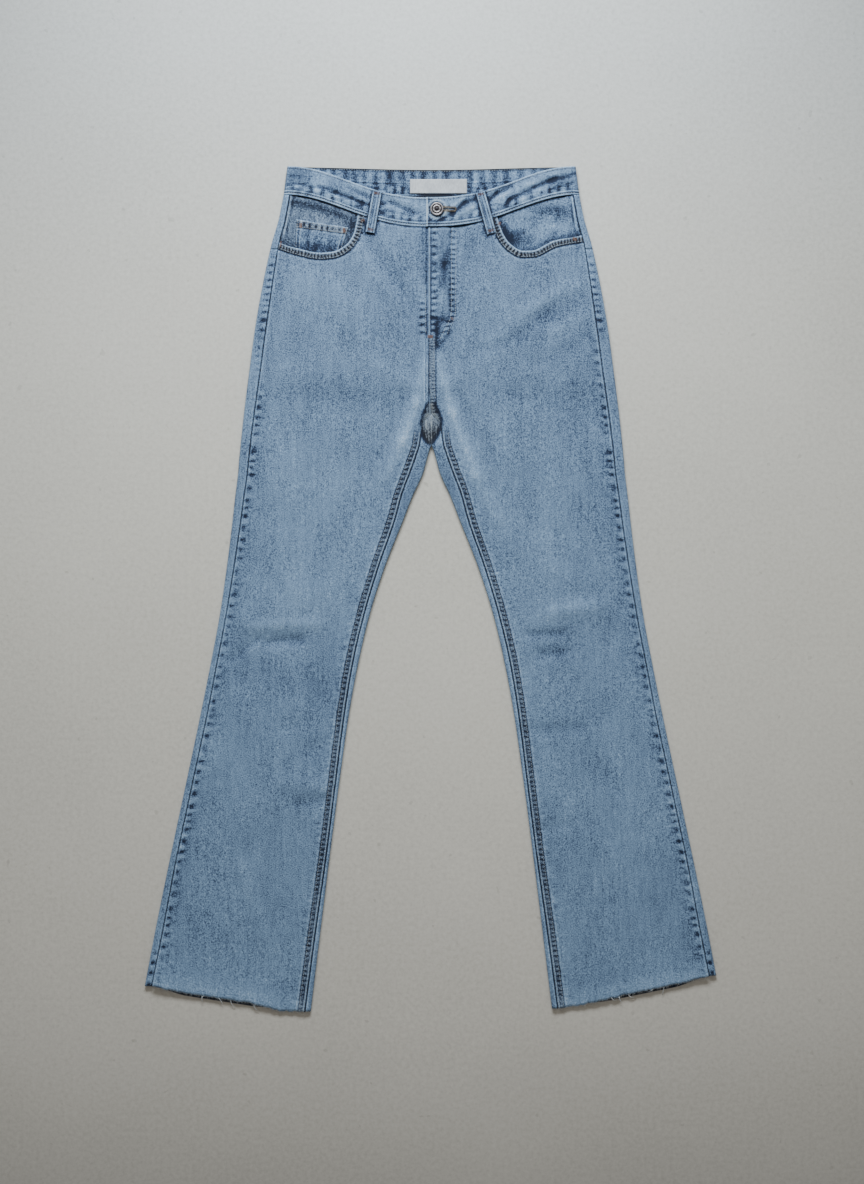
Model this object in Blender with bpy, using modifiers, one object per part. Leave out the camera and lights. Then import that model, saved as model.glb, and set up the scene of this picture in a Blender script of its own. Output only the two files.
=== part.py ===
"""Flared five-pocket jeans with a raw hem, laid flat with the front up.

Each panel is a grid whose rows run across the garment. The back panels and
yokes bend round the side folds onto the front, as the sewn seams lie there.
Down is the distance below the top of the waistband, towards the hems.
Across is the distance from the centre line. Named sizes are in millimetres.
Side +1 is the wearer's left leg and side -1 the wearer's right leg.
"""
import math
from collections import namedtuple

import bmesh
import bpy
import numpy as np

MM = 0.001

# Walls and the gaps between sewn pieces
CLOTH = 1.2
BAND = 2.2
PATCH = 0.9
LABEL = 0.6
SEAM_GAP = 0.3
HALF_GAP = SEAM_GAP / 2

# Origin under the middle of the laid garment
ORIGIN_DOWN = 541.7
ORIGIN_ACROSS = -1.25

# Heights: the hips lie on the back pockets and the back belt loops
HIP_LIFT = CLOTH + SEAM_GAP
HIP_LIFT_END = 285.0
LEGS_FLAT = 320.0
FOLD_REACH = 2.0
FOLD_STEPS = 4
SINK = 0.8
SINK_NEAR = 5.0
SINK_FAR = 45.0
SINK_START = 380.0
SINK_FULL = 480.0

# Thickness of the pressed garment at each distance down
Loft = namedtuple("Loft", "down thick")
LOFT = [
    Loft(0, 6.0),
    Loft(345, 6.0),
    Loft(420, 5.4),
    Loft(600, 5.2),
    Loft(900, 4.8),
    Loft(1085, 4.4),
]

# Outline: outer and inner edges, side seam inset, distance of the inseam
Outline = namedtuple("Outline", "down outer inner side_inset inseam")
OUTLINE = [
    Outline(38.4, 189.0, 0.0, 8.0, 0.0),
    Outline(69, 195.2, 0.0, 8.8, 0.0),
    Outline(100, 204.2, 0.0, 9.8, 0.0),
    Outline(146, 214.4, 0.0, 12.4, 0.0),
    Outline(207, 225.3, 0.0, 14.6, 0.0),
    Outline(269, 233.6, 0.0, 14.4, 0.0),
    Outline(317, 239.8, 0.0, 13.5, 0.15),
    Outline(325, 240.7, 0.0, 13.4, 7.5),
    Outline(337, 242.0, 0.0, 13.2, 12.5),
    Outline(350, 243.4, 0.0, 13.0, 14.2),
    Outline(358, 244.2, 0.15, 12.9, 15.4),
    Outline(362, 244.6, 1.8, 12.8, 16.6),
    Outline(375, 245.9, 5.6, 12.6, 21.0),
    Outline(392, 247.2, 10.2, 12.3, 27.2),
    Outline(422, 250.9, 23.7, 11.6, 38.4),
    Outline(453, 254.3, 35.8, 10.9, 46.9),
    Outline(515, 262.0, 60.2, 9.4, 68.4),
    Outline(576, 271.0, 79.4, 8.4, 86.6),
    Outline(637, 282.4, 93.6, 8.2, 100.8),
    Outline(699, 294.8, 105.0, 8.8, 111.0),
    Outline(791, 314.2, 118.1, 8.5, 122.9),
    Outline(883, 333.8, 130.0, 8.5, 134.6),
    Outline(975, 352.6, 141.4, 9.8, 147.6),
    Outline(1085, 373.4, 154.8, 9.0, 162.3),
]

# Waistband: half width at its top edge, height and dip of the front
BAND_HALF_TOP = 184.3
BAND_HALF_LOW = 189.0
BAND_TOP_SIDE = 2.0
BAND_TOP_DIP = 40.0
BAND_LOW_SIDE = 38.4
BAND_LOW_DIP = 41.0
DIP_POWER = 1.2
BACK_TOP_DIP = 3.5
BACK_LOW_DIP = 5.6
BAND_RAISE = 0.4
BAND_FRONT_COLUMNS = 18
BAND_BACK_COLUMNS = 20
BAND_ROWS = 4
OVERLAP_END = -7.0
UNDERLAP_END = 28.0
UNDERLAP_COLUMNS = 3
OVERLAP_LIFT = BAND + SEAM_GAP
OVERLAP_FLAT = 31.0
OVERLAP_FADE = 66.0

# Rows of the hip part: each is a distance down the side seam
CROTCH_DOWN = 317.0
FORK_DOWN = 358.0
SIDE_ROWS = [127.0, 146.0, 180.0, 215.0, 250.0, 285.0, 320.0, 358.0]
YOKE_SIDE = 108.0
YOKE_CENTRE = 122.0
YOKE_UPPER_ROW = 64.0
BACK_COLUMNS = 10
INSEAM_STRIP_COLUMNS = 3

# Rows of the leg: distance down the side seam and down the inseam, and the
# angle that the inner fold turns out of the across direction
LegRow = namedtuple("LegRow", "side inseam turn")
LEG_ROWS = [
    LegRow(358, 317, 90),
    LegRow(362, 325, 55),
    LegRow(368, 337, 35),
    LegRow(377, 350, 22),
    LegRow(390, 366, 20),
    LegRow(406, 386, 21),
    LegRow(427, 412, 21),
    LegRow(453, 443, 21),
    LegRow(484, 478, 20),
    LegRow(516, 513, 19),
    LegRow(546, 545, 17),
    LegRow(576, 576, 15),
    LegRow(612, 612, 13),
    LegRow(650, 650, 11),
    LegRow(700, 700, 9),
    LegRow(750, 750, 8),
    LegRow(800, 800, 7),
    LegRow(850, 850, 7),
    LegRow(900, 900, 7),
]
HEM_ROWS = 4

# Hem line: share of the leg from the inner edge to the outer, and distance
# down on each leg
Hem = namedtuple("Hem", "share right left")
HEM = [
    Hem(0.0, 1081.6, 1077.8),
    Hem(0.16, 1080.6, 1073.2),
    Hem(0.37, 1069.4, 1063.4),
    Hem(0.6, 1063.0, 1053.4),
    Hem(0.8, 1057.0, 1045.4),
    Hem(1.0, 1049.0, 1035.5),
]

# Pocket opening from the waistband to the side seam on each side
Pocket = namedtuple("Pocket", "right_across right_down left_across left_down")
POCKET = [
    Pocket(94.0, 63.0, 83.5, 66.5),
    Pocket(95.6, 72.0, 86.0, 74.0),
    Pocket(98.8, 86.0, 90.5, 86.5),
    Pocket(104.5, 97.5, 96.0, 96.5),
    Pocket(112.0, 104.5, 104.5, 104.5),
    Pocket(126.0, 111.0, 116.0, 110.0),
    Pocket(143.0, 112.4, 130.0, 109.5),
    Pocket(168.0, 107.6, 158.0, 96.5),
    Pocket(195.2, 99.2, 193.6, 90.0),
]
FRONT_WAIST_COLUMNS = 6
TOP_SHAPE_END = 0.5
FACING_TUCK = 10.0
FACING_START = 8.0
FACING_ROWS = 3
FACING_COLUMNS = 8
FACING_SIDE_FLUSH = 2
TUCK_TURN = 0.1
TUCK_END = 0.45
POCKET_DROP = CLOTH + SEAM_GAP
COIN_DROP = POCKET_DROP + PATCH + SEAM_GAP

# Coin pocket corners on the right facing, from the top edge
COIN_CORNERS = [(172.5, 69.6), (106.0, 80.1), (116.5, 114.0), (175.0, 112.0)]
COIN_CELLS = 3

# Fly: the left front laps over the right front
FLY_EDGE = -4.0
FLY_UNDER = -5.0
FLY_FLAT = 14.0
FLY_FADE = 36.0
FLY_LAP_ROWS = 6
ZIP_WIDTH = 27.0
ZIP_TOP = 88.0
ZIP_LOW = 216.0
ZIP_COLUMNS = 2
ZIP_ROWS = 4

# Crotch hollow between the four-way seam and the fork
PIT_DEPTH = 3.0
PIT_DOWN = 336.0
PIT_LENGTH = 15.0
PIT_WIDTH = 9.0

# Soft folds on the front: ends, half width and height
Crease = namedtuple("Crease", "across0 down0 across1 down1 width height")
CREASES = [
    Crease(-190, 574, -232, 580, 16, 1.4),
    Crease(-175, 606, -236, 612, 14, -0.9),
    Crease(172, 566, 208, 574, 16, 1.2),
    Crease(146, 622, 178, 606, 14, -0.8),
    Crease(-150, 800, -200, 812, 22, 0.8),
    Crease(150, 640, 196, 704, 18, -0.7),
    Crease(90, 470, 170, 540, 22, 0.7),
    Crease(-80, 480, -150, 560, 22, 0.6),
    Crease(96, 190, 170, 250, 26, 0.5),
    Crease(-100, 200, -180, 270, 26, 0.5),
    Crease(120, 330, 214, 380, 24, 0.5),
    Crease(-110, 340, -214, 400, 24, 0.5),
]
BAND_CREASES = [
    Crease(27, 64, 58, 45, 7, 0.8),
    Crease(78, 44, 108, 14, 7, -0.7),
    Crease(96, 48, 142, 18, 8, 0.8),
    Crease(120, 34, 172, 10, 7, -0.6),
    Crease(-152, 26, -84, 48, 8, 0.7),
    Crease(-58, 46, -16, 60, 7, -0.6),
]

# Back pockets under the back panels
BACK_POCKET_ACROSS = 84.0
BACK_POCKET_DOWN = 134.0
BACK_POCKET_TOP = 125.0
BACK_POCKET_LOW = 108.0
BACK_POCKET_TALL = 128.0
BACK_POCKET_POINT = 16.0
BACK_POCKET_TILT = 0.07
BACK_POCKET_CELLS = 6

# Belt loops: where the middle of each end lies, and puff of the middle
Loop = namedtuple("Loop", "name top_across top_down low_across low_down front")
LOOPS = [
    Loop("belt_loop_front_left", 62.3, 35.6, 76.8, 87.9, True),
    Loop("belt_loop_front_right", -69.1, 34.3, -78.5, 86.7, True),
    Loop("belt_loop_back_left", 112.0, 5.0, 115.0, 59.0, False),
    Loop("belt_loop_back_centre", 0.0, 6.5, 0.0, 60.5, False),
    Loop("belt_loop_back_right", -112.0, 5.0, -115.0, 59.0, False),
]
LOOP_WIDTH = 11.5
LOOP_ROWS = 6
LOOP_COLUMNS = 2
LOOP_PUFF = 0.7
LOOP_ON_BAND = 8.0

# Button on the waistband, and the keyhole that it goes through
BUTTON_ACROSS = 6.8
BUTTON_DOWN = 57.2
BUTTON_SIDES = 32
SHANK_RADIUS = 2.0
EYE_RADIUS = 2.9
EYE_SIDES = 16
SLIT_WIDTH = 1.2
SLIT_END = 30.0
CUTTER_REACH = 3.0

# Button section from the cap's underside: radius and height over it
Ring = namedtuple("Ring", "radius height")
CAP_RINGS = [
    Ring(7.7, 0.0),
    Ring(8.5, 0.5),
    Ring(8.5, 1.2),
    Ring(7.7, 1.8),
    Ring(6.6, 1.9),
    Ring(6.1, 1.4),
    Ring(5.2, 1.5),
    Ring(4.4, 2.1),
    Ring(3.4, 2.0),
    Ring(3.0, 1.5),
]

# Woven label inside the back waistband
LABEL_LEFT = -27.5
LABEL_RIGHT = 45.4
LABEL_TOP = 17.9
LABEL_LOW = 36.0
LABEL_COLUMNS = 4

DENIM = (0.18, 0.27, 0.40, 1.0)
WHITE = (0.75, 0.77, 0.80, 1.0)
METAL = (0.62, 0.56, 0.53, 1.0)
DARK = (0.10, 0.14, 0.20, 1.0)


def smooth(value, start, end):
    """Soft step from 0 at start to 1 at end."""
    share = min(max((value - start) / (end - start), 0.0), 1.0)
    return share * share * (3.0 - 2.0 * share)


def lerp(first, second, share):
    return first + (second - first) * share


def curve_through(stations, values):
    """Smooth curve through points that doesn't overshoot between them."""
    stations = np.array(stations, dtype=float)
    values = np.array(values, dtype=float)
    slopes = np.diff(values) / np.diff(stations)
    tangents = np.zeros(len(values))
    tangents[0] = slopes[0]
    tangents[-1] = slopes[-1]
    for index in range(1, len(values) - 1):
        before = slopes[index - 1]
        after = slopes[index]
        if before * after > 0:
            tangents[index] = 2 * before * after / (before + after)

    def value_at(station):
        station = min(max(station, stations[0]), stations[-1])
        index = int(np.searchsorted(stations, station)) - 1
        index = min(max(index, 0), len(slopes) - 1)
        width = stations[index + 1] - stations[index]
        t = (station - stations[index]) / width
        start = values[index] * (1 + 2 * t) * (1 - t) ** 2
        end = values[index + 1] * t * t * (3 - 2 * t)
        bend = t * (1 - t) ** 2 * width * tangents[index]
        bend -= t * t * (1 - t) * width * tangents[index + 1]
        return float(start + end + bend)

    return value_at


def outline_curve(column):
    stations = [row.down for row in OUTLINE]
    return curve_through(stations, [getattr(row, column) for row in OUTLINE])


outer_edge = outline_curve("outer")
inner_edge = outline_curve("inner")
side_inset = outline_curve("side_inset")
inseam_across = outline_curve("inseam")
loft_at = curve_through([row.down for row in LOFT], [row.thick for row in LOFT])


def hem_down(share, side):
    column = [row.left if side > 0 else row.right for row in HEM]
    return float(np.interp(share, [row.share for row in HEM], column))


def under_height(down):
    """Height of the underside of the lower layer."""
    return HIP_LIFT * float(np.interp(down, [HIP_LIFT_END, LEGS_FLAT], [1.0, 0.0]))


def crease_height(across, down, creases):
    total = 0.0
    for row in creases:
        run = row.across1 - row.across0
        drop = row.down1 - row.down0
        share = (across - row.across0) * run + (down - row.down0) * drop
        share = min(max(share / (run * run + drop * drop), 0.0), 1.0)
        off_across = across - row.across0 - share * run
        off_down = down - row.down0 - share * drop
        distance = math.hypot(off_across, off_down)
        total += row.height * math.exp(-((distance / row.width) ** 2))
    return total


def top_height(across, down):
    """Height of the outer face of the upper layer."""
    distance = abs(across)
    height = under_height(down) + loft_at(down)
    outer_gap = outer_edge(down) - distance
    sink = smooth(outer_gap, SINK_NEAR, SINK_FAR)
    sink *= smooth(distance - inner_edge(down), SINK_NEAR, SINK_FAR)
    height -= SINK * sink * smooth(down, SINK_START, SINK_FULL)
    pit = math.exp(-(((down - PIT_DOWN) / PIT_LENGTH) ** 2))
    height -= PIT_DEPTH * pit * math.exp(-((distance / PIT_WIDTH) ** 2))
    return height + crease_height(across, down, CREASES)


def dip(across, half_width):
    share = min(abs(across) / half_width, 1.0)
    return 0.5 + 0.5 * math.cos(math.pi * share ** DIP_POWER)


def band_low_front(across):
    """Lower seam of the front waistband."""
    return BAND_LOW_SIDE + BAND_LOW_DIP * dip(across, BAND_HALF_LOW)


def back_dip(across):
    share = min(abs(across) / BAND_HALF_LOW, 1.0)
    return 0.5 + 0.5 * math.cos(math.pi * share)


def band_low_back(across):
    """Lower seam of the back waistband."""
    return BAND_LOW_SIDE + BACK_LOW_DIP * back_dip(across)


def band_height(across, down):
    """Height of the outer face of the front waistband."""
    height = HIP_LIFT + loft_at(down) + BAND_RAISE
    return height + crease_height(across, down, BAND_CREASES)


def overlap_lift(across):
    if across < OVERLAP_END:
        return 0.0
    return OVERLAP_LIFT * (1.0 - smooth(across, OVERLAP_FLAT, OVERLAP_FADE))


def place_vertex(vert, across, down, height):
    vert.co.x = (across - ORIGIN_ACROSS) * MM
    vert.co.y = (ORIGIN_DOWN - down) * MM
    vert.co.z = height * MM


def new_material(name, colour):
    material = bpy.data.materials.new(name)
    material.use_nodes = True
    shader = material.node_tree.nodes["Principled BSDF"]
    shader.inputs["Base Color"].default_value = colour
    shader.inputs["Roughness"].default_value = 0.85
    material.diffuse_color = colour
    return material


def new_object(name, mesh_builder, collection, colour=DENIM):
    mesh = bpy.data.meshes.new(name)
    mesh_builder.to_mesh(mesh)
    mesh_builder.free()
    obj = bpy.data.objects.new(name, mesh)
    collection.objects.link(obj)
    obj.data.materials.append(new_material(name, colour))
    return obj


def apply_modifiers(obj):
    graph = bpy.context.evaluated_depsgraph_get()
    solid = bpy.data.meshes.new_from_object(obj.evaluated_get(graph))
    obj.modifiers.clear()
    old = obj.data
    obj.data = solid
    bpy.data.meshes.remove(old)
    solid.name = obj.name


def face_outward(obj):
    builder = bmesh.new()
    builder.from_mesh(obj.data)
    bmesh.ops.recalc_face_normals(builder, faces=builder.faces)
    if builder.calc_volume(signed=True) < 0:
        bmesh.ops.reverse_faces(builder, faces=builder.faces)
    builder.to_mesh(obj.data)
    builder.free()


def new_sheet(name, columns, rows, place, wall, keep=None, colour=DENIM):
    """Grid of cells put in place point by point, then given its wall."""
    builder = bmesh.new()
    bmesh.ops.create_grid(builder, x_segments=columns, y_segments=rows, size=0.5)
    dropped = []
    for vert in builder.verts:
        column = round((vert.co.x + 0.5) * columns)
        row = round((vert.co.y + 0.5) * rows)
        if keep is not None and not keep(column, row):
            dropped.append(vert)
            continue
        place_vertex(vert, *place(column, row))
    bmesh.ops.delete(builder, geom=dropped, context="VERTS")
    obj = new_object(name, builder, jeans, colour)
    solidify = obj.modifiers.new("wall", "SOLIDIFY")
    solidify.thickness = wall * MM
    solidify.offset = 0.0
    solidify.use_even_offset = True
    solidify.use_rim = True
    apply_modifiers(obj)
    face_outward(obj)
    return obj


def trim_at_centre(obj, side):
    """Plane the centre seam's cut faces so that both halves stay apart."""
    limit = (side * HALF_GAP - ORIGIN_ACROSS) * MM
    for vert in obj.data.vertices:
        if side * (vert.co.x - limit) < 0:
            vert.co.x = limit


def fold_point(edge_across, down, low, high, step, turn=0.0):
    """Point on a pressed fold, from the lower layer at step 0 upwards."""
    angle = math.pi * (step / FOLD_STEPS - 0.5)
    middle = (low + high) / 2
    reach = FOLD_REACH * math.cos(angle) - FOLD_REACH - CLOTH / 2
    across = edge_across + reach * math.cos(turn)
    drop = reach * math.sin(turn)
    return across, down + drop, middle + (high - low) / 2 * math.sin(angle)


def side_seam_point(down):
    return outer_edge(down) - side_inset(down)


def outer_wrap(across_low, down, column, side):
    """Side strip and outer fold shared by the yokes and back panels.

    Columns run from the side seam on top, round the fold, to the bottom.
    """
    edge = outer_edge(down)
    low = under_height(down) + CLOTH / 2
    base = edge - FOLD_REACH - CLOTH / 2
    if column == 0:
        across = side_seam_point(down) + HALF_GAP
        return across, down, top_height(side * across, down) - CLOTH / 2
    if column <= FOLD_STEPS + 1:
        high = top_height(side * base, down) - CLOTH / 2
        return fold_point(edge, down, low, high, FOLD_STEPS + 1 - column)
    return across_low, down, low


def pocket_start_down(side):
    return POCKET[-1].left_down if side > 0 else POCKET[-1].right_down


def build_yoke(side):
    stations = [BAND_LOW_SIDE + HALF_GAP, YOKE_UPPER_ROW, pocket_start_down(side)]
    stations.append(YOKE_SIDE - HALF_GAP)
    wrap = FOLD_STEPS + 1
    flat = BACK_COLUMNS

    def place(column, row):
        side_down = stations[row]
        base = outer_edge(side_down) - FOLD_REACH - CLOTH / 2
        share = min(max((flat + wrap - column) / flat, 0.0), 1.0)
        across = lerp(HALF_GAP, base, share)
        fall = (side_down - BAND_LOW_SIDE) / (YOKE_SIDE - BAND_LOW_SIDE)
        upper = band_low_back(across) - BAND_LOW_SIDE
        lower = (YOKE_CENTRE - YOKE_SIDE) * (1.0 - share)
        down = side_down + lerp(upper, lower, fall) * (column > wrap)
        point = outer_wrap(across, down, column, side)
        return side * point[0], point[1], point[2]

    name = "yoke_left" if side > 0 else "yoke_right"
    obj = new_sheet(name, wrap + flat, len(stations) - 1, place, CLOTH)
    trim_at_centre(obj, side)
    return obj


def hip_side_rows():
    return [YOKE_SIDE] + SIDE_ROWS


def leg_row_down(row, share, side):
    """Distance down of a leg row, tilted where the inseam lies higher."""
    last = len(LEG_ROWS) - 1
    if row <= last:
        return lerp(LEG_ROWS[row].inseam, LEG_ROWS[row].side, share)
    start = LEG_ROWS[last].side
    return lerp(start, hem_down(share, side), (row - last) / HEM_ROWS)


def build_back(side):
    hips = hip_side_rows()
    fork = len(hips) - 1
    rows = fork + len(LEG_ROWS) - 1 + HEM_ROWS
    wrap = FOLD_STEPS + 1
    flat = BACK_COLUMNS
    inner = wrap + flat
    strip = INSEAM_STRIP_COLUMNS
    columns = inner + FOLD_STEPS + strip

    def place(column, row):
        leg = row - fork
        table_row = LEG_ROWS[min(max(leg, 0), len(LEG_ROWS) - 1)]
        share = min(max((inner - column) / flat, 0.0), 1.0)
        turn = math.radians(table_row.turn)
        if leg >= len(LEG_ROWS):
            down = leg_row_down(leg, share, side)
            edge_down = leg_row_down(leg, 0.0, side)
            seam_down = edge_down
        elif leg >= 0:
            down = table_row.side
            edge_down = table_row.side
            seam_down = table_row.inseam
        else:
            top = lerp(YOKE_CENTRE, YOKE_SIDE, share) + HALF_GAP
            side_share = (hips[row] - hips[0]) / (hips[-1] - hips[0])
            down = lerp(top, hips[-1], side_share)
            edge_down = down
            seam_down = down
        side_down = hips[row] if leg < 0 else leg_row_down(leg, 1.0, side)
        if row == 0:
            side_down += HALF_GAP
        low = under_height(edge_down) + CLOTH / 2
        inner_base = HALF_GAP
        base_down = edge_down
        if leg >= 0:
            inner_base, base_down, _ = fold_point(
                inner_edge(edge_down), edge_down, low, low, 0, math.pi - turn
            )
        outer_base = outer_edge(side_down) - FOLD_REACH - CLOTH / 2
        if column <= inner:
            if column > wrap and leg >= 0:
                down = lerp(base_down, side_down, share)
            if column <= wrap:
                down = side_down
            across = lerp(inner_base, outer_base, share)
            point = outer_wrap(across, down, column, side)
            return side * point[0], point[1], point[2]
        high = top_height(side * inner_base, base_down) - CLOTH / 2
        if column <= inner + FOLD_STEPS:
            step = column - inner
            point = fold_point(
                inner_edge(edge_down), edge_down, low, high, step, math.pi - turn
            )
            return side * point[0], point[1], point[2]
        along = (column - inner - FOLD_STEPS) / strip
        seam = max(inseam_across(seam_down) - HALF_GAP, HALF_GAP)
        across = lerp(inner_base, seam, along)
        down = lerp(base_down, seam_down, along)
        return side * across, down, top_height(side * across, down) - CLOTH / 2

    def keep(column, row):
        return row >= fork or column <= inner

    name = "back_left" if side > 0 else "back_right"
    obj = new_sheet(name, columns, rows, place, CLOTH, keep)
    trim_at_centre(obj, side)
    return obj


def pocket_points(side):
    if side > 0:
        return [(row.left_across, row.left_down) for row in POCKET]
    return [(row.right_across, row.right_down) for row in POCKET]


def fly_lift(across, row):
    crotch_row = len(hip_side_rows())
    if row >= crotch_row:
        return 0.0
    return (CLOTH + SEAM_GAP) * (1.0 - smooth(across, FLY_FLAT, FLY_FADE))


def front_inner_edge(side, row):
    """Centre edge of a front, measured away from the centre on its side."""
    crotch_row = len(hip_side_rows())
    if row >= crotch_row:
        return HALF_GAP
    if side > 0:
        return FLY_EDGE
    if row <= FLY_LAP_ROWS:
        return FLY_UNDER
    return -FLY_EDGE + SEAM_GAP


def build_front(side):
    pocket = pocket_points(side)
    side_top = pocket[-1][1]
    stations = [side_top] + hip_side_rows()
    crotch_row = len(stations) - 1
    columns = FRONT_WAIST_COLUMNS + len(pocket) - 1
    rows = crotch_row + len(LEG_ROWS) - 1 + HEM_ROWS

    def top_point(column):
        if column >= FRONT_WAIST_COLUMNS:
            return pocket[column - FRONT_WAIST_COLUMNS]
        start = front_inner_edge(side, 0)
        across = lerp(start, pocket[0][0], column / FRONT_WAIST_COLUMNS)
        return across, band_low_front(across) + HALF_GAP

    def hip_place(column, row):
        share = column / columns
        fall = (stations[row] - side_top) / (FORK_DOWN - side_top)
        top_across, top_down = top_point(column)
        low_down = lerp(CROTCH_DOWN, FORK_DOWN, share)
        down = lerp(top_down, low_down, fall)
        inner = front_inner_edge(side, row)
        outer = side_seam_point(stations[row]) - HALF_GAP
        even = lerp(inner, outer, share)
        follow = (1.0 - smooth(fall, 0.0, TOP_SHAPE_END)) * (0 < column < columns)
        across = lerp(even, top_across, follow)
        return across, down

    def leg_place(column, row):
        share = column / columns
        down = leg_row_down(row, share, side)
        inner = inseam_across(leg_row_down(row, 0.0, side)) + HALF_GAP
        outer = side_seam_point(leg_row_down(row, 1.0, side)) - HALF_GAP
        return lerp(inner, outer, share), down

    def place(column, row):
        if row < crotch_row:
            across, down = hip_place(column, row)
        else:
            across, down = leg_place(column, row - crotch_row)
        height = top_height(side * across, down) - CLOTH / 2
        if side > 0:
            height += fly_lift(across, row)
        return side * across, down, height

    name = "front_left" if side > 0 else "front_right"
    return new_sheet(name, columns, rows, place, CLOTH)


def facing_point(side, column, row):
    """Point of a pocket facing, from the waistband to under the front."""
    pocket = pocket_points(side)
    share = column / FACING_COLUMNS
    start = pocket[0][0] - FACING_START
    end = side_seam_point(BAND_LOW_SIDE) - HALF_GAP
    upper_across = lerp(start, end, share)
    upper_down = band_low_front(upper_across) + HALF_GAP
    place = lerp(1.0, len(pocket) - 1, share)
    numbers = range(len(pocket))
    low_across = float(np.interp(place, numbers, [point[0] for point in pocket]))
    low_down = float(np.interp(place, numbers, [point[1] for point in pocket]))
    low_across -= FACING_TUCK * (1.0 - smooth(share, TUCK_TURN, TUCK_END))
    low_down += FACING_TUCK * smooth(share, 0.0, TUCK_END)
    fall = row / FACING_ROWS
    across = lerp(upper_across, low_across, fall)
    down = lerp(upper_down, low_down, fall)
    drop = COIN_DROP if row > 0 else POCKET_DROP
    if column == FACING_COLUMNS:
        across = side_seam_point(down) - HALF_GAP
        drop = 0.0 if row < FACING_SIDE_FLUSH else POCKET_DROP
        if row == FACING_ROWS:
            drop = COIN_DROP
    return side * across, down, top_height(side * across, down) - drop


def build_facing(side):
    def place(column, row):
        across, down, height = facing_point(side, column, row)
        return across, down, height - CLOTH / 2

    name = "pocket_facing_left" if side > 0 else "pocket_facing_right"
    return new_sheet(name, FACING_COLUMNS, FACING_ROWS, place, CLOTH)


def build_coin_pocket():
    """Small pocket on the right facing, its lower end under the front."""
    def place(column, row):
        share = column / COIN_CELLS
        fall = row / COIN_CELLS
        first, second, third, fourth = COIN_CORNERS
        upper = (lerp(first[0], second[0], share), lerp(first[1], second[1], share))
        lower = (lerp(fourth[0], third[0], share), lerp(fourth[1], third[1], share))
        across = -lerp(upper[0], lower[0], fall)
        down = lerp(upper[1], lower[1], fall)
        height = top_height(across, down) - COIN_DROP + SEAM_GAP + PATCH / 2
        return across, down, height

    return new_sheet("coin_pocket", COIN_CELLS, COIN_CELLS, place, PATCH)


def build_waistband():
    """Doubled band: overlap, left side, back, right side, underlap."""
    front = BAND_FRONT_COLUMNS
    back = BAND_BACK_COLUMNS
    left_fold = front
    back_start = left_fold + FOLD_STEPS
    back_end = back_start + back
    right_front = back_end + FOLD_STEPS
    centre = right_front + front
    columns = centre + UNDERLAP_COLUMNS
    low = HIP_LIFT + BAND / 2

    def front_place(across, fall):
        share = across / BAND_HALF_TOP
        top = BAND_TOP_SIDE + BAND_TOP_DIP * dip(share, 1.0)
        bottom = BAND_LOW_SIDE + BAND_LOW_DIP * dip(share, 1.0) - HALF_GAP
        down = lerp(top, bottom, fall)
        wide = lerp(BAND_HALF_TOP, BAND_HALF_LOW, fall) / BAND_HALF_TOP
        reach = FOLD_REACH + BAND / 2
        across = across * wide * (1.0 - reach / BAND_HALF_LOW)
        return across, down

    def place(column, row):
        fall = row / BAND_ROWS
        half = lerp(BAND_HALF_TOP, BAND_HALF_LOW, fall)
        base = half - FOLD_REACH - BAND / 2
        edge_down = lerp(BAND_TOP_SIDE, BAND_LOW_SIDE - HALF_GAP, fall)
        on_left_fold = left_fold < column <= back_start
        on_right_fold = back_end <= column < right_front
        if on_left_fold or on_right_fold:
            side = 1 if on_left_fold else -1
            step = column - left_fold if on_left_fold else right_front - column
            high = band_height(side * base, edge_down) - BAND / 2
            angle = math.pi * (0.5 - step / FOLD_STEPS)
            across = base + FOLD_REACH * math.cos(angle)
            height = (low + high) / 2 + (high - low) / 2 * math.sin(angle)
            return side * across, edge_down, height
        if back_start < column < back_end:
            across = lerp(base, -base, (column - back_start) / back)
            top = BAND_TOP_SIDE + BACK_TOP_DIP * back_dip(across)
            bottom = band_low_back(across) - HALF_GAP
            return across, lerp(top, bottom, fall), low
        if column <= left_fold:
            start = lerp(OVERLAP_END, BAND_HALF_TOP, column / front)
            across, down = front_place(start, fall)
            height = band_height(across, down) + overlap_lift(across)
            return across, down, height - BAND / 2
        if column <= centre:
            start = -BAND_HALF_TOP * (centre - column) / front
        else:
            start = UNDERLAP_END * (column - centre) / UNDERLAP_COLUMNS
        across, down = front_place(start, fall)
        height = HIP_LIFT + loft_at(down) + BAND_RAISE
        if start < 0:
            height = band_height(across, down)
        return across, down, height - BAND / 2

    band = new_sheet("waistband", columns, BAND_ROWS, place, BAND)
    cut_keyhole(band)
    return band


def overlap_top():
    """Height of the flat top of the waistband's overlap."""
    base = HIP_LIFT + loft_at(0) + BAND_RAISE
    return base + OVERLAP_LIFT


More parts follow.
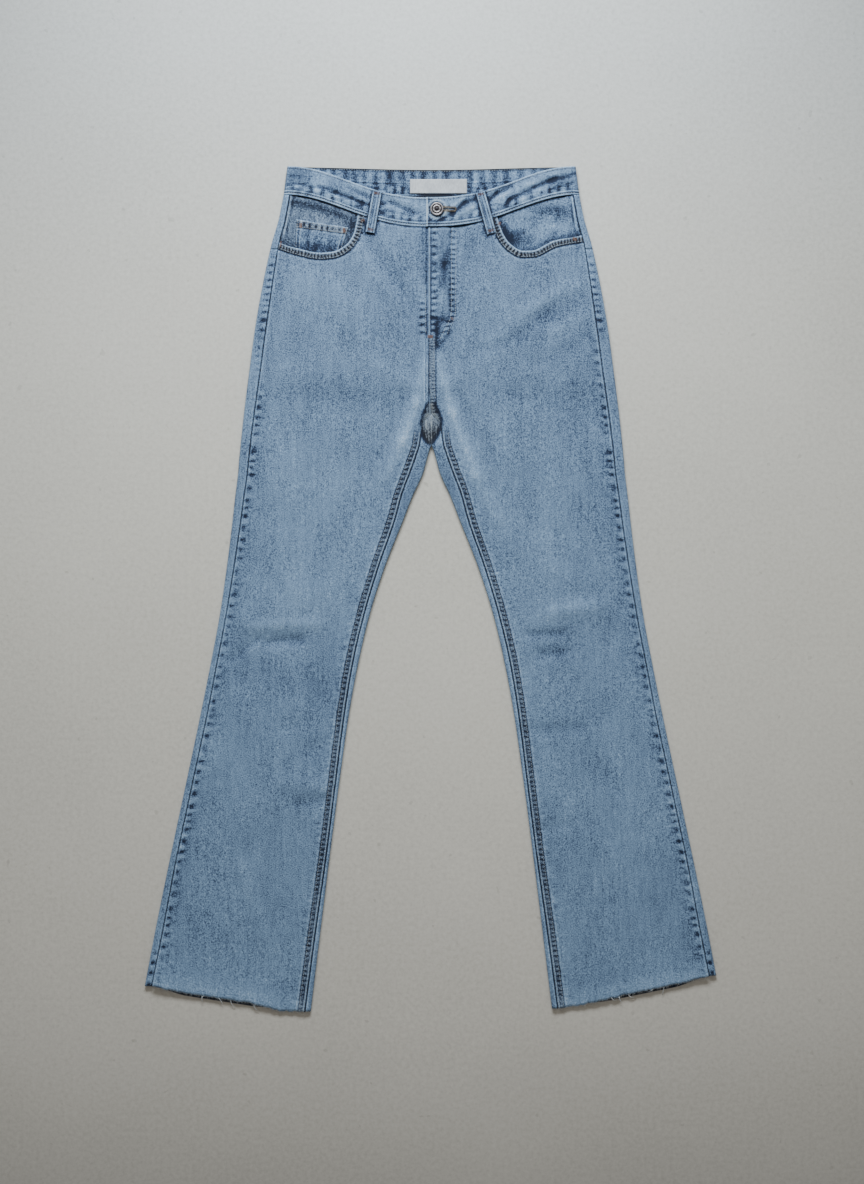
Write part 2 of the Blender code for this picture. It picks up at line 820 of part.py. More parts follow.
def cut_keyhole(band):
    """Cut the round eye and the slit through the overlap only."""
    low = overlap_top() - BAND - HALF_GAP
    tall = BAND + CUTTER_REACH
    middle = low + tall / 2
    eye = bmesh.new()
    bmesh.ops.create_cone(
        eye,
        cap_ends=True,
        segments=EYE_SIDES,
        radius1=EYE_RADIUS * MM,
        radius2=EYE_RADIUS * MM,
        depth=tall * MM,
    )
    eye_obj = new_object("keyhole_eye", eye, cutters)
    eye_obj.location = world_point(BUTTON_ACROSS, BUTTON_DOWN, middle)
    slit = bmesh.new()
    bmesh.ops.create_cube(slit, size=1.0)
    slit_obj = new_object("keyhole_slit", slit, cutters)
    length = SLIT_END - BUTTON_ACROSS
    slit_obj.scale = (length * MM, SLIT_WIDTH * MM, tall * MM)
    slit_obj.location = world_point(BUTTON_ACROSS + length / 2, BUTTON_DOWN, middle)
    for cutter in (eye_obj, slit_obj):
        cut = band.modifiers.new("keyhole", "BOOLEAN")
        cut.operation = "DIFFERENCE"
        cut.solver = "EXACT"
        cut.object = cutter
        bpy.context.view_layer.update()
        apply_modifiers(band)
        cutter.hide_render = True
    face_outward(band)


def world_point(across, down, height):
    across = (across - ORIGIN_ACROSS) * MM
    return across, (ORIGIN_DOWN - down) * MM, height * MM


def build_belt_loop(row):
    def place(column, step):
        fall = step / LOOP_ROWS
        slide = (column / LOOP_COLUMNS - 0.5) * LOOP_WIDTH
        across = lerp(row.top_across, row.low_across, fall) + slide
        down = lerp(row.top_down, row.low_down, fall)
        if not row.front:
            return across, down, CLOTH / 2
        height = top_height(across, down)
        if down < band_low_front(across) + LOOP_ON_BAND:
            height = max(height, band_height(across, down) + overlap_lift(across))
        puff = LOOP_PUFF * math.sin(math.pi * fall)
        return across, down, height + SEAM_GAP + CLOTH / 2 + puff

    return new_sheet(row.name, LOOP_COLUMNS, LOOP_ROWS, place, CLOTH)


def build_back_pocket(side):
    cells = BACK_POCKET_CELLS

    def place(column, row):
        share = 2 * column / cells - 1
        fall = row / cells
        half = lerp(BACK_POCKET_TOP, BACK_POCKET_LOW, fall) / 2
        tall = BACK_POCKET_TALL + BACK_POCKET_POINT * (1 - abs(share))
        along = fall * tall
        across = BACK_POCKET_ACROSS + share * half + along * BACK_POCKET_TILT
        down = BACK_POCKET_DOWN + along - share * half * BACK_POCKET_TILT
        return side * across, down, CLOTH / 2

    name = "back_pocket_left" if side > 0 else "back_pocket_right"
    return new_sheet(name, cells, cells, place, CLOTH)


def build_label():
    def place(column, row):
        across = lerp(LABEL_LEFT, LABEL_RIGHT, column / LABEL_COLUMNS)
        down = lerp(LABEL_TOP, LABEL_LOW, row)
        return across, down, HIP_LIFT + BAND + SEAM_GAP + LABEL / 2

    return new_sheet("label", LABEL_COLUMNS, 1, place, LABEL, colour=WHITE)


def build_zip():
    """Closed zip behind the fly, plain because the fly covers it."""
    def place(column, row):
        across = (column / ZIP_COLUMNS - 0.5) * ZIP_WIDTH
        down = lerp(ZIP_TOP, ZIP_LOW, row / ZIP_ROWS)
        height = HIP_LIFT + loft_at(down) - CLOTH - SEAM_GAP - CLOTH / 2
        return across, down, height

    return new_sheet("zip", ZIP_COLUMNS, ZIP_ROWS, place, CLOTH, colour=DARK)


def build_button():
    """Turned jeans button whose shank passes through the keyhole."""
    shank_end = overlap_top() - OVERLAP_LIFT + SEAM_GAP
    cap_base = overlap_top() + SEAM_GAP
    rings = [Ring(SHANK_RADIUS, shank_end), Ring(SHANK_RADIUS, cap_base)]
    for row in CAP_RINGS:
        rings.append(Ring(row.radius, cap_base + row.height))
    builder = bmesh.new()
    loops = []
    for row in rings:
        loop = []
        for step in range(BUTTON_SIDES):
            angle = 2 * math.pi * step / BUTTON_SIDES
            across = BUTTON_ACROSS + row.radius * math.cos(angle)
            down = BUTTON_DOWN - row.radius * math.sin(angle)
            loop.append(builder.verts.new(world_point(across, down, row.height)))
        loops.append(loop)
    for lower, upper in zip(loops, loops[1:]):
        for step in range(BUTTON_SIDES):
            after = (step + 1) % BUTTON_SIDES
            builder.faces.new((lower[step], lower[after], upper[after], upper[step]))
    builder.faces.new(list(reversed(loops[0])))
    builder.faces.new(loops[-1])
    obj = new_object("button", builder, jeans, METAL)
    face_outward(obj)
    return obj


for old_object in list(bpy.data.objects):
    bpy.data.objects.remove(old_object, do_unlink=True)

jeans = bpy.data.collections.new("jeans")
cutters = bpy.data.collections.new("cutters")
bpy.context.scene.collection.children.link(jeans)
bpy.context.scene.collection.children.link(cutters)

for leg_side in (1, -1):
    build_front(leg_side)
    build_back(leg_side)
    build_yoke(leg_side)
    build_facing(leg_side)
    build_back_pocket(leg_side)
build_coin_pocket()
build_waistband()
for loop_row in LOOPS:
    build_belt_loop(loop_row)
build_label()
build_zip()
build_button()
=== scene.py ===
"""Washed denim looks for a pair of flared jeans that lies flat, front up.

Every cloth piece is a fine sheet laid on the form of its solid, with seams,
puckers and creases modelled in it. Three attributes paint the denim: tone is
how faded it is, and also carries painted shade and painted highlights on
creases, hollows and edges; warm how far it turns to grey brown; and seam
carries the puckers along the nearest seam.
Down is the distance below the top of the waistband, towards the hems.
Across is the distance from the centre line. Sizes are in millimetres.
Side +1 is the wearer's left leg and side -1 the wearer's right leg.
"""
import math
from collections import namedtuple

import bmesh
import bpy
import numpy as np
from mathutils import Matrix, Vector


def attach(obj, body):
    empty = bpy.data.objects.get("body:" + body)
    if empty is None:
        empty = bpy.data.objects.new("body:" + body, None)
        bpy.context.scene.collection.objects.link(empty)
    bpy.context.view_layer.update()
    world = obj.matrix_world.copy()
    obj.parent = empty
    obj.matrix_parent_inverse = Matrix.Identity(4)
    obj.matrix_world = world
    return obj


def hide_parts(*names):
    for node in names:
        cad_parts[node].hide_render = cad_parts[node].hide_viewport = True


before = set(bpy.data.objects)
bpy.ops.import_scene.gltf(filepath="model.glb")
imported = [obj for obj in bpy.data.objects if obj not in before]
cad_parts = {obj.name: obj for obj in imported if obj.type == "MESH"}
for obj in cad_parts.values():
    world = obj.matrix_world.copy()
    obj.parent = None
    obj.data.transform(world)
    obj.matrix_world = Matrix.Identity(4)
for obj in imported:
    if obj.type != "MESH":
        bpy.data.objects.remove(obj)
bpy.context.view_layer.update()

MM = 0.001

# Walls, gaps and the place of the origin, as in the solids
CLOTH = 1.2
BAND = 2.2
PATCH = 0.9
LABEL = 0.6
SEAM_GAP = 0.3
HALF_GAP = SEAM_GAP / 2
ORIGIN_DOWN = 541.7
ORIGIN_ACROSS = -1.25

# Heights of the layers
HIP_LIFT = CLOTH + SEAM_GAP
HIP_LIFT_END = 285.0
LEGS_FLAT = 320.0
FOLD_REACH = 2.0
SINK = 0.8
SINK_NEAR = 5.0
SINK_FAR = 45.0
SINK_START = 380.0
SINK_FULL = 480.0

Loft = namedtuple("Loft", "down thick")
LOFT = [
    Loft(0, 6.0),
    Loft(345, 6.0),
    Loft(420, 5.4),
    Loft(600, 5.2),
    Loft(900, 4.8),
    Loft(1085, 4.4),
]

# Outline: outer and inner edges, side seam inset, distance of the inseam
Outline = namedtuple("Outline", "down outer inner side_inset inseam")
OUTLINE = [
    Outline(38.4, 189.0, 0.0, 8.0, 0.0),
    Outline(69, 195.2, 0.0, 8.8, 0.0),
    Outline(100, 204.2, 0.0, 9.8, 0.0),
    Outline(146, 214.4, 0.0, 12.4, 0.0),
    Outline(207, 225.3, 0.0, 14.6, 0.0),
    Outline(269, 233.6, 0.0, 14.4, 0.0),
    Outline(317, 239.8, 0.0, 13.5, 0.15),
    Outline(325, 240.7, 0.0, 13.4, 7.5),
    Outline(337, 242.0, 0.0, 13.2, 12.5),
    Outline(350, 243.4, 0.0, 13.0, 14.2),
    Outline(358, 244.2, 0.15, 12.9, 15.4),
    Outline(362, 244.6, 1.8, 12.8, 16.6),
    Outline(375, 245.9, 5.6, 12.6, 21.0),
    Outline(392, 247.2, 10.2, 12.3, 27.2),
    Outline(422, 250.9, 23.7, 11.6, 38.4),
    Outline(453, 254.3, 35.8, 10.9, 46.9),
    Outline(515, 262.0, 60.2, 9.4, 68.4),
    Outline(576, 271.0, 79.4, 8.4, 86.6),
    Outline(637, 282.4, 93.6, 8.2, 100.8),
    Outline(699, 294.8, 105.0, 8.8, 111.0),
    Outline(791, 314.2, 118.1, 8.5, 122.9),
    Outline(883, 333.8, 130.0, 8.5, 134.6),
    Outline(975, 352.6, 141.4, 9.8, 147.6),
    Outline(1085, 373.4, 154.8, 9.0, 162.3),
]

# Leg rows: distance down the side seam and down the inseam that lie on one
# thread line, and the angle that the inner fold turns there
LegRow = namedtuple("LegRow", "side inseam turn")
LEG_ROWS = [
    LegRow(358, 317, 90),
    LegRow(362, 325, 55),
    LegRow(368, 337, 35),
    LegRow(377, 350, 22),
    LegRow(390, 366, 20),
    LegRow(406, 386, 21),
    LegRow(427, 412, 21),
    LegRow(453, 443, 21),
    LegRow(484, 478, 20),
    LegRow(516, 513, 19),
    LegRow(546, 545, 17),
    LegRow(576, 576, 15),
    LegRow(612, 612, 13),
    LegRow(650, 650, 11),
    LegRow(700, 700, 9),
    LegRow(750, 750, 8),
    LegRow(900, 900, 7),
]
CROTCH_DOWN = 317.0
FORK_DOWN = 358.0
CALF_DOWN = 900.0

# Hem line: share of the leg from the inner edge to the outer
Hem = namedtuple("Hem", "share right left")
HEM = [
    Hem(0.0, 1081.6, 1077.8),
    Hem(0.16, 1080.6, 1073.2),
    Hem(0.37, 1069.4, 1063.4),
    Hem(0.6, 1063.0, 1053.4),
    Hem(0.8, 1057.0, 1045.4),
    Hem(1.0, 1049.0, 1035.5),
]

# Waistband
BAND_HALF_TOP = 184.3
BAND_HALF_LOW = 189.0
BAND_TOP_SIDE = 2.0
BAND_TOP_DIP = 40.0
BAND_LOW_SIDE = 38.4
BAND_LOW_DIP = 41.0
DIP_POWER = 1.2
BACK_TOP_DIP = 3.5
BACK_LOW_DIP = 5.6
BAND_RAISE = 0.4
OVERLAP_END = -7.0
UNDERLAP_END = 28.0
OVERLAP_LIFT = BAND + SEAM_GAP
OVERLAP_FLAT = 31.0
OVERLAP_FADE = 66.0
YOKE_SIDE = 108.0
YOKE_CENTRE = 122.0

# Pocket opening from the waistband to the side seam on each side
Pocket = namedtuple("Pocket", "right_across right_down left_across left_down")
POCKET = [
    Pocket(94.0, 63.0, 83.5, 66.5),
    Pocket(95.6, 72.0, 86.0, 74.0),
    Pocket(98.8, 86.0, 90.5, 86.5),
    Pocket(104.5, 97.5, 96.0, 96.5),
    Pocket(112.0, 104.5, 104.5, 104.5),
    Pocket(126.0, 111.0, 116.0, 110.0),
    Pocket(143.0, 112.4, 130.0, 109.5),
    Pocket(168.0, 107.6, 158.0, 96.5),
    Pocket(195.2, 99.2, 193.6, 90.0),
]
WAIST_SHARE = 6 / 14
TOP_SHAPE_END = 0.5
FACING_TUCK = 10.0
FACING_START = 8.0
POCKET_DROP = CLOTH + SEAM_GAP
COIN_DROP = POCKET_DROP + PATCH + SEAM_GAP
COIN_CORNERS = [(172.5, 69.6), (106.0, 80.1), (116.5, 114.0), (175.0, 112.0)]

# Fly: the left front laps over the right front
FLY_EDGE = -4.0
FLY_UNDER = -5.0
FLY_CLEAR = 4.3
FLY_FLAT = 14.0
FLY_FADE = 36.0
UNDER_END = 218.0
UNDER_GONE = 250.0
LAP_END = 282.0

# Back pockets and belt loops
BACK_POCKET_ACROSS = 84.0
BACK_POCKET_DOWN = 134.0
BACK_POCKET_TOP = 125.0
BACK_POCKET_LOW = 108.0
BACK_POCKET_TALL = 128.0
BACK_POCKET_POINT = 16.0
BACK_POCKET_TILT = 0.07
POCKET_THREAD = 0.45
Loop = namedtuple("Loop", "name top_across top_down low_across low_down front")
LOOPS = [
    Loop("belt_loop_front_left", 62.3, 35.6, 76.8, 87.9, True),
    Loop("belt_loop_front_right", -69.1, 34.3, -78.5, 86.7, True),
    Loop("belt_loop_back_left", 112.0, 5.0, 115.0, 59.0, False),
    Loop("belt_loop_back_centre", 0.0, 6.5, 0.0, 60.5, False),
    Loop("belt_loop_back_right", -112.0, 5.0, -115.0, 59.0, False),
]
LOOP_WIDTH = 11.5
LOOP_PUFF = 0.7
LOOP_ON_BAND = 8.0
LOOP_LONG = 54.0
LOOP_TACKS = (0.05, 0.93)
FRONT_LOOPS = [row for row in LOOPS if row.front]

# Button and keyhole
BUTTON_ACROSS = 6.8
BUTTON_DOWN = 57.2
SHANK_RADIUS = 2.0
EYE_RADIUS = 2.9
SLIT_WIDTH = 1.2
SLIT_END = 30.0

# Woven label inside the back waistband
LABEL_LEFT = -27.5
LABEL_RIGHT = 45.4
LABEL_TOP = 17.9
LABEL_LOW = 36.0

# Soft folds that the solids have too
# tone lightens a crease's ridge and darkens its trough: partly worn indigo, partly painted highlight and
# painted shade
Crease = namedtuple("Crease", "across0 down0 across1 down1 width height tone")
CREASES = [
    Crease(-190, 574, -232, 580, 16, 1.2, 0.0),
    Crease(-175, 606, -236, 612, 14, -0.8, 0.0),
    Crease(172, 566, 208, 574, 16, 1.2, 0.04),
    Crease(146, 622, 178, 606, 14, -0.8, -0.04),
    Crease(-150, 800, -200, 812, 22, 0.8, 0.0),
    Crease(150, 640, 196, 704, 18, -0.7, 0.0),
    Crease(90, 470, 170, 540, 22, 0.7, 0.0),
    Crease(-80, 480, -150, 560, 22, 0.6, 0.0),
    Crease(96, 190, 170, 250, 26, 0.5, 0.0),
    Crease(-100, 200, -180, 270, 26, 0.5, 0.0),
    Crease(120, 330, 214, 380, 24, 0.5, 0.0),
    Crease(-110, 340, -214, 400, 24, 0.5, 0.0),
]
# Finer creases of the photographed cloth, by where they lie
FINE_CREASES = [
    Crease(-226, 590, -148, 586, 9, 1.8, 0.14),
    Crease(-212, 609, -166, 607, 6.0, -1.8, -0.18),
    Crease(-256, 631, -222, 607, 5, -0.9, -0.10),
    Crease(-232, 620, -206, 604, 4, 0.6, 0.07),
    Crease(-240, 640, -150, 672, 26, -1.0, -0.10),
    Crease(-228, 560, -150, 548, 20, 0.9, 0.05),
    Crease(153, 572, 214, 561, 10, 1.6, 0.12),
    Crease(126, 600, 168, 597, 6, -1.6, -0.18),
    Crease(140, 625, 177, 622, 7, -1.2, -0.11),
    Crease(-186, 717, -160, 712, 12, -0.9, -0.07),
    Crease(-158, 748, -136, 742, 12, -0.9, -0.07),
    Crease(-190, 787, -140, 794, 11, 1.1, 0.07),
    Crease(-172, 815, -134, 810, 8, -1.2, -0.08),
    Crease(116, 722, 190, 719, 9, -1.1, -0.09),
    Crease(130, 852, 170, 842, 8, -0.8, -0.05),
    Crease(208, 760, 240, 800, 9, -0.7, -0.05),
    Crease(208, 860, 240, 900, 12, 0.8, 0.04),
    Crease(-240, 900, -214, 980, 12, 0.8, 0.03),
    Crease(-172, 400, -168, 560, 32, 0.9, 0.07),
    Crease(153, 396, 184, 530, 12, 0.9, 0.07),
    Crease(138, 430, 156, 520, 6, 0.7, 0.06),
    Crease(166, 470, 190, 548, 6, -0.7, -0.05),
    Crease(196, 462, 212, 530, 6, 0.6, 0.05),
    Crease(-196, 470, -182, 540, 8, 0.6, 0.04),
    Crease(-150, 430, -140, 520, 7, -0.5, -0.04),
    Crease(-190, 287, -60, 300, 18, -0.9, -0.08),
    Crease(80, 289, 214, 299, 18, -0.9, -0.08),
    Crease(-170, 150, -108, 176, 24, 1.2, 0.09),
    Crease(-86, 84, -24, 176, 8, -1.2, -0.12),
    Crease(-110, 90, -43, 176, 10, 0.9, 0.07),
    Crease(108, 214, 152, 190, 13, -0.8, -0.10),
    Crease(140, 196, 186, 172, 12, -0.9, -0.13),
    Crease(122, 186, 188, 152, 8, 0.7, 0.07),
    Crease(140, 250, 198, 222, 9, -0.7, -0.07),
    Crease(150, 214, 196, 194, 7, 0.7, 0.07),
    Crease(80, 225, 166, 152, 10, 0.9, 0.07),
    Crease(60, 240, 120, 216, 8, -0.7, -0.06),
    Crease(86, 108, 49, 188, 11, 0.9, 0.07),
    Crease(44, 104, 34, 190, 8, -0.8, -0.07),
    Crease(8, 248, 26, 316, 8, 1.5, 0.26),
    Crease(26, 316, 56, 396, 9, 1.4, 0.25),
    Crease(12, 262, 22, 300, 3, 0.5, 0.14),
    Crease(28, 322, 44, 366, 3, 0.5, 0.14),
    Crease(58, 396, 84, 452, 8, 1.0, 0.12),
    Crease(38, 296, 72, 372, 8, -1.0, -0.09),
    Crease(20, 280, 80, 240, 9, 0.8, 0.05),
    Crease(-9, 258, -19, 305, 8, 1.4, 0.25),
    Crease(-19, 305, -36, 353, 8, 1.4, 0.25),
    Crease(-22, 318, -34, 348, 3, 0.5, 0.12),
    Crease(-36, 353, -62, 402, 7, 1.2, 0.17),
    Crease(-34, 290, -66, 372, 8, -1.0, -0.09),
    Crease(-20, 284, -84, 246, 9, 0.8, 0.05),
]
# Creases at the fly, strongly toned: unfaded indigo and painted shade in the folds, painted highlight on
# the ridges
FLY_CREASES = [
    Crease(22, 112, 16, 128, 4.6, -0.6, -0.36),
    Crease(17, 126, 13, 154, 3.8, -0.6, -0.42),
    Crease(28, 100, 22, 120, 3.0, 0.3, 0.20),
    Crease(1, 196, 22, 199, 4.0, -0.7, -0.45),
    Crease(7.5, 203, 8.5, 232, 3.4, -0.8, -0.60),
    Crease(20, 204, 13, 222, 3.0, 0.4, 0.30),
    Crease(24, 212, 14, 226, 2.6, -0.4, -0.40),
    Crease(13, 140, 12, 178, 4.0, 0.4, 0.15),
]
BAND_CREASES = [
    Crease(27, 64, 58, 45, 7, 0.8, 0.05),
    Crease(78, 44, 108, 14, 7, -0.7, 0.0),
    Crease(96, 48, 142, 18, 8, 0.8, 0.05),
    Crease(120, 34, 172, 10, 7, -0.6, 0.0),
    Crease(-152, 26, -84, 48, 8, 0.7, 0.05),
    Crease(-58, 46, -16, 60, 7, -0.6, 0.0),
]
BAND_FINE_CREASES = [
    Crease(-144, 28, -122, 35, 3.0, -0.8, -0.65),
    Crease(-122, 35, -88, 49, 2.8, -1.3, -0.95),
    Crease(-88, 49, -80, 52, 2.6, -1.0, -0.80),
    Crease(-105, 29, -80, 42, 3.0, -0.6, -0.45),
    Crease(-100, 27, -76, 36, 2.8, 0.5, 0.30),
    Crease(-146, 33, -96, 51, 2.6, 0.5, 0.25),
    Crease(-52, 48, -22, 62, 2.8, -0.8, -0.60),
    Crease(-44, 44, -18, 54, 3.0, 0.5, 0.20),
    Crease(6, 73, 28, 62, 3.0, -0.9, -0.85),
    Crease(28, 62, 42, 49, 3.4, -1.0, -0.90),
    Crease(42, 49, 56, 44, 2.8, -0.8, -0.65),
    Crease(18, 61, 40, 44, 2.6, 0.8, 0.45),
    Crease(34, 66, 54, 54, 2.6, 0.6, 0.35),
    Crease(70, 48, 83, 36, 3.0, -1.0, -0.80),
    Crease(83, 36, 103, 27, 2.8, -0.8, -0.70),
    Crease(80, 46, 100, 34, 2.6, 0.6, 0.35),
    Crease(91, 55, 99, 45, 2.6, -1.0, -0.80),
    Crease(99, 45, 131, 29, 3.0, -1.0, -0.80),
    Crease(131, 29, 158, 17, 2.8, -0.8, -0.60),
    Crease(104, 50, 140, 33, 2.6, 0.6, 0.30),
    Crease(150, 21, 182, 12, 3.6, -0.8, -0.65),
    Crease(156, 30, 180, 24, 3.0, -0.5, -0.45),
    Crease(120, 26, 160, 12, 3.2, 0.5, 0.25),
    Crease(-178, 22, -160, 26, 3.2, -0.5, -0.40),
    Crease(-180, 14, -166, 16, 3.0, -0.4, -0.40),
]
# Dark spots where the band puckers above its lower seam
Spot = namedtuple("Spot", "across down radius height tone")
BAND_SPOTS = [
    Spot(-170, 36, 3.2, -0.5, -0.60),
    Spot(-158, 37, 3.4, -0.5, -0.65),
    Spot(-125, 45, 3.0, -0.4, -0.50),
    Spot(-95, 53, 3.0, -0.5, -0.60),
    Spot(-61, 50, 3.4, -0.5, -0.65),
    Spot(-64, 62, 3.0, -0.4, -0.50),
    Spot(-35, 63, 2.8, -0.4, -0.55),
    Spot(-24, 66, 2.8, -0.4, -0.50),
    Spot(128, 40, 3.2, -0.4, -0.45),
    Spot(150, 33, 3.2, -0.4, -0.45),
]
# Grooves and ridges beside each sewn line, by how far they lie off it
Line = namedtuple("Line", "at width height tone")
LINES = {
    "inseam": [
        Line(0.2, 0.8, -0.35, -0.85),
        Line(2.1, 1.0, 0.15, 0.65),
        Line(3.6, 0.7, -0.15, -0.3),
        Line(9.0, 0.8, -0.25, -0.55),
        Line(11.2, 1.1, 0.1, 0.26),
    ],
    "side_seam": [
        Line(0.0, 0.7, -0.4, -0.7),
        Line(1.6, 0.8, 0.2, 0.34),
        Line(9.0, 6.0, 0.12, -0.08),
    ],
    "fly_edge": [
        Line(0.1, 0.7, -0.5, 0.1),
        Line(1.4, 0.6, 0.2, 0.34),
        Line(3.1, 0.9, -0.25, -0.5),
    ],
    "fly_stitches": [
        Line(-3.4, 0.8, -0.3, -0.45),
        Line(3.8, 0.9, -0.1, -0.25),
    ],
    "centre_seam": [
        Line(1.0, 1.0, -0.2, -0.55),
        Line(5.0, 4.5, 0.25, -0.04),
        Line(9.6, 1.0, -0.2, -0.5),
    ],
    "under_fly": [
        Line(2.4, 1.7, -0.3, -0.46),
        Line(7.0, 4.0, 0.0, -0.1),
    ],
    "under_seam": [
        Line(0.2, 0.7, -0.3, -0.7),
        Line(1.6, 0.8, 0.15, 0.65),
        Line(3.1, 0.7, -0.1, -0.6),
        Line(4.6, 0.9, 0.1, 0.5),
    ],
    "pocket": [
        Line(0.0, 0.9, -0.4, 0.15),
        Line(1.1, 0.7, 0.0, 0.42),
        Line(5.2, 2.7, 0.0, -0.3),
        # groove with painted shade at the foot of the turned hem
        Line(9.0, 1.0, -0.3, -0.75),
        Line(11.2, 1.3, 0.1, 0.22),
    ],
    "waist": [
        # groove with painted shade under the waistband's lower edge
        Line(0.4, 1.3, -0.4, -0.6),
        Line(3.0, 1.6, 0.0, 0.14),
    ],
    "side_strip": [
        Line(0.1, 0.7, -0.4, -0.6),
        Line(1.8, 0.9, 0.15, 0.22),
    ],
    "inner_strip": [
        Line(0.2, 0.8, -0.4, -0.8),
        Line(1.7, 0.9, 0.15, 0.35),
    ],
    "facing_waist": [
        # groove with painted shade under the waistband's lower edge
        Line(0.4, 1.4, -0.3, -0.75),
        Line(3.0, 2.0, 0.0, 0.1),
    ],
    "facing_side": [
        Line(0.2, 0.9, -0.3, -0.7),
        Line(2.2, 1.0, 0.2, 0.65),
        Line(5.0, 1.0, -0.1, -0.45),
    ],
    "coin_top": [
        Line(0.4, 0.9, 0.0, 0.45),
        Line(8.6, 0.8, -0.2, -0.35),
        Line(10.2, 1.0, 0.0, 0.35),
    ],
    "coin_side": [
        Line(0.2, 0.8, -0.3, -0.5),
        Line(1.6, 0.8, 0.0, 0.45),
        Line(3.4, 0.8, 0.0, -0.3),
        Line(6.4, 0.9, 0.0, 0.35),
    ],
    "band_top": [
        Line(0.0, 0.9, -0.5, 0.55),
        Line(2.6, 0.8, -0.15, -0.35),
    ],
    "band_low": [
        Line(0.0, 0.7, -0.5, -0.35),
        Line(1.4, 0.8, 0.0, 0.6),
        Line(3.2, 0.8, -0.35, -0.95),
        Line(5.2, 0.8, 0.1, 0.6),
        Line(7.0, 0.9, 0.0, -0.35),
    ],
    "button_ring": [
        # the dark ring at the cap's edge is painted shadow of the button
        Line(9.4, 1.0, 0.0, -0.75),
        Line(11.6, 1.6, 0.0, 0.55),
    ],
    "back_band": [
        Line(0.47, 0.02, 0.0, -0.45),
        Line(0.43, 0.02, 0.0, 0.3),
        # painted shade along the top edge of the back band
        Line(0.0, 0.035, 0.0, -1.1),
    ],
    "overlap_edge": [
        Line(0.2, 0.8, -0.4, 0.4),
        Line(1.6, 0.8, 0.0, 0.62),
        Line(3.7, 1.1, -0.3, -0.8),
    ],
    "loop_edge": [
        Line(0.0, 0.8, -0.45, 0.1),
        Line(1.1, 0.7, 0.0, 0.55),
        Line(2.5, 0.6, -0.2, -0.45),
    ],
    "loop_middle": [
        Line(1.0, 0.7, 0.1, 0.35),
        Line(-0.8, 0.6, -0.1, -0.3),
    ],
    "back_pocket_edge": [
        Line(0.0, 1.0, -0.4, 0.4),
        Line(2.2, 0.9, -0.25, -0.35),
        Line(8.2, 0.9, -0.25, -0.3),
    ],
    "back_pocket_top": [
        Line(0.0, 1.0, -0.4, 0.45),
        Line(12.0, 1.2, -0.25, -0.45),
    ],
}
# Puckers beside each sewn line, a few at a spacing that their callers give
Pucker = namedtuple("Pucker", "at width depth strength spacing")
PUCKERS = {
    "inseam": Pucker(6.4, 2.8, 0.25, 0.75, 6.2),
    "side_seam": Pucker(4.6, 3.4, 0.5, 1.05, 13.6),
    "fly_edge": Pucker(7.6, 3.4, 0.4, 1.0, 9.0),
    "fly_stitches": Pucker(0.0, 2.8, 0.3, 1.0, 6.7),
    "centre_seam": Pucker(6.0, 2.6, 0.2, 0.62, 4.2),
    "under_fly": Pucker(7.6, 3.4, 0.3, 1.0, 9.4),
    "pocket": Pucker(5.0, 3.0, 0.15, 1.25, 4.2),
    "side_strip": Pucker(4.4, 3.8, 0.4, 0.95, None),
    "coin_top": Pucker(4.6, 2.4, 0.3, 1.0, 8.6),
    "band_low": Pucker(10.5, 5.0, 0.35, 0.62, None),
    "back_pocket_top": Pucker(6.5, 3.6, 0.15, 0.7, 9.0),
}


def lerp(first, second, share):
    return first + (second - first) * share


def smooth(value, start, end):
    """Soft step from 0 at start to 1 at end."""
    share = np.clip((np.asarray(value, dtype=float) - start) / (end - start), 0.0, 1.0)
    return share * share * (3.0 - 2.0 * share)


def fade(value, start, end):
    """Soft step from 1 at start to 0 at end."""
    return 1.0 - smooth(value, start, end)


def bell(distance, width):
    return np.exp(-((np.asarray(distance, dtype=float) / width) ** 2))


def column(table, name):
    return np.array([getattr(row, name) for row in table], dtype=float)


def sided(name, side):
    return name + ("_left" if side > 0 else "_right")


class Curve:
    """Smooth curve through points that doesn't overshoot between them."""

    def __init__(self, stations, values):
        self.stations = np.array(stations, dtype=float)
        self.values = np.array(values, dtype=float)
        slopes = np.diff(self.values) / np.diff(self.stations)
        product = slopes[:-1] * slopes[1:]
        total = slopes[:-1] + slopes[1:]
        safe = np.where(product > 0, total, 1.0)
        inner = np.where(product > 0, 2 * product / safe, 0.0)
        self.tangents = np.concatenate([slopes[:1], inner, slopes[-1:]])

    def __call__(self, station):
        stations = self.stations
        station = np.clip(np.asarray(station, dtype=float), stations[0], stations[-1])
        index = np.clip(np.searchsorted(stations, station) - 1, 0, len(stations) - 2)
        width = stations[index + 1] - stations[index]
        t = (station - stations[index]) / width
        start = self.values[index] * (1 + 2 * t) * (1 - t) ** 2
        end = self.values[index + 1] * t * t * (3 - 2 * t)
        bend = t * (1 - t) ** 2 * width * self.tangents[index]
        bend = bend - t * t * (1 - t) * width * self.tangents[index + 1]
        return start + end + bend


class Noise:
    """Smooth random field from about -1 to 1, with one cell a unit."""

    CELLS = 257

    def __init__(self, seed):
        draw = np.random.default_rng(seed)
        self.cells = draw.uniform(-1.0, 1.0, (self.CELLS, self.CELLS))

    def __call__(self, x, y=0.0):
        x, y = np.broadcast_arrays(np.asarray(x, float), np.asarray(y, float))
        column_at = np.floor(x).astype(int)
        row_at = np.floor(y).astype(int)
        across = smooth(x - column_at, 0.0, 1.0)
        down = smooth(y - row_at, 0.0, 1.0)
        near = column_at % self.CELLS
        far = (column_at + 1) % self.CELLS
        top = row_at % self.CELLS
        low = (row_at + 1) % self.CELLS
        upper = lerp(self.cells[top, near], self.cells[top, far], across)
        lower = lerp(self.cells[low, near], self.cells[low, far], across)
        return lerp(upper, lower, down)


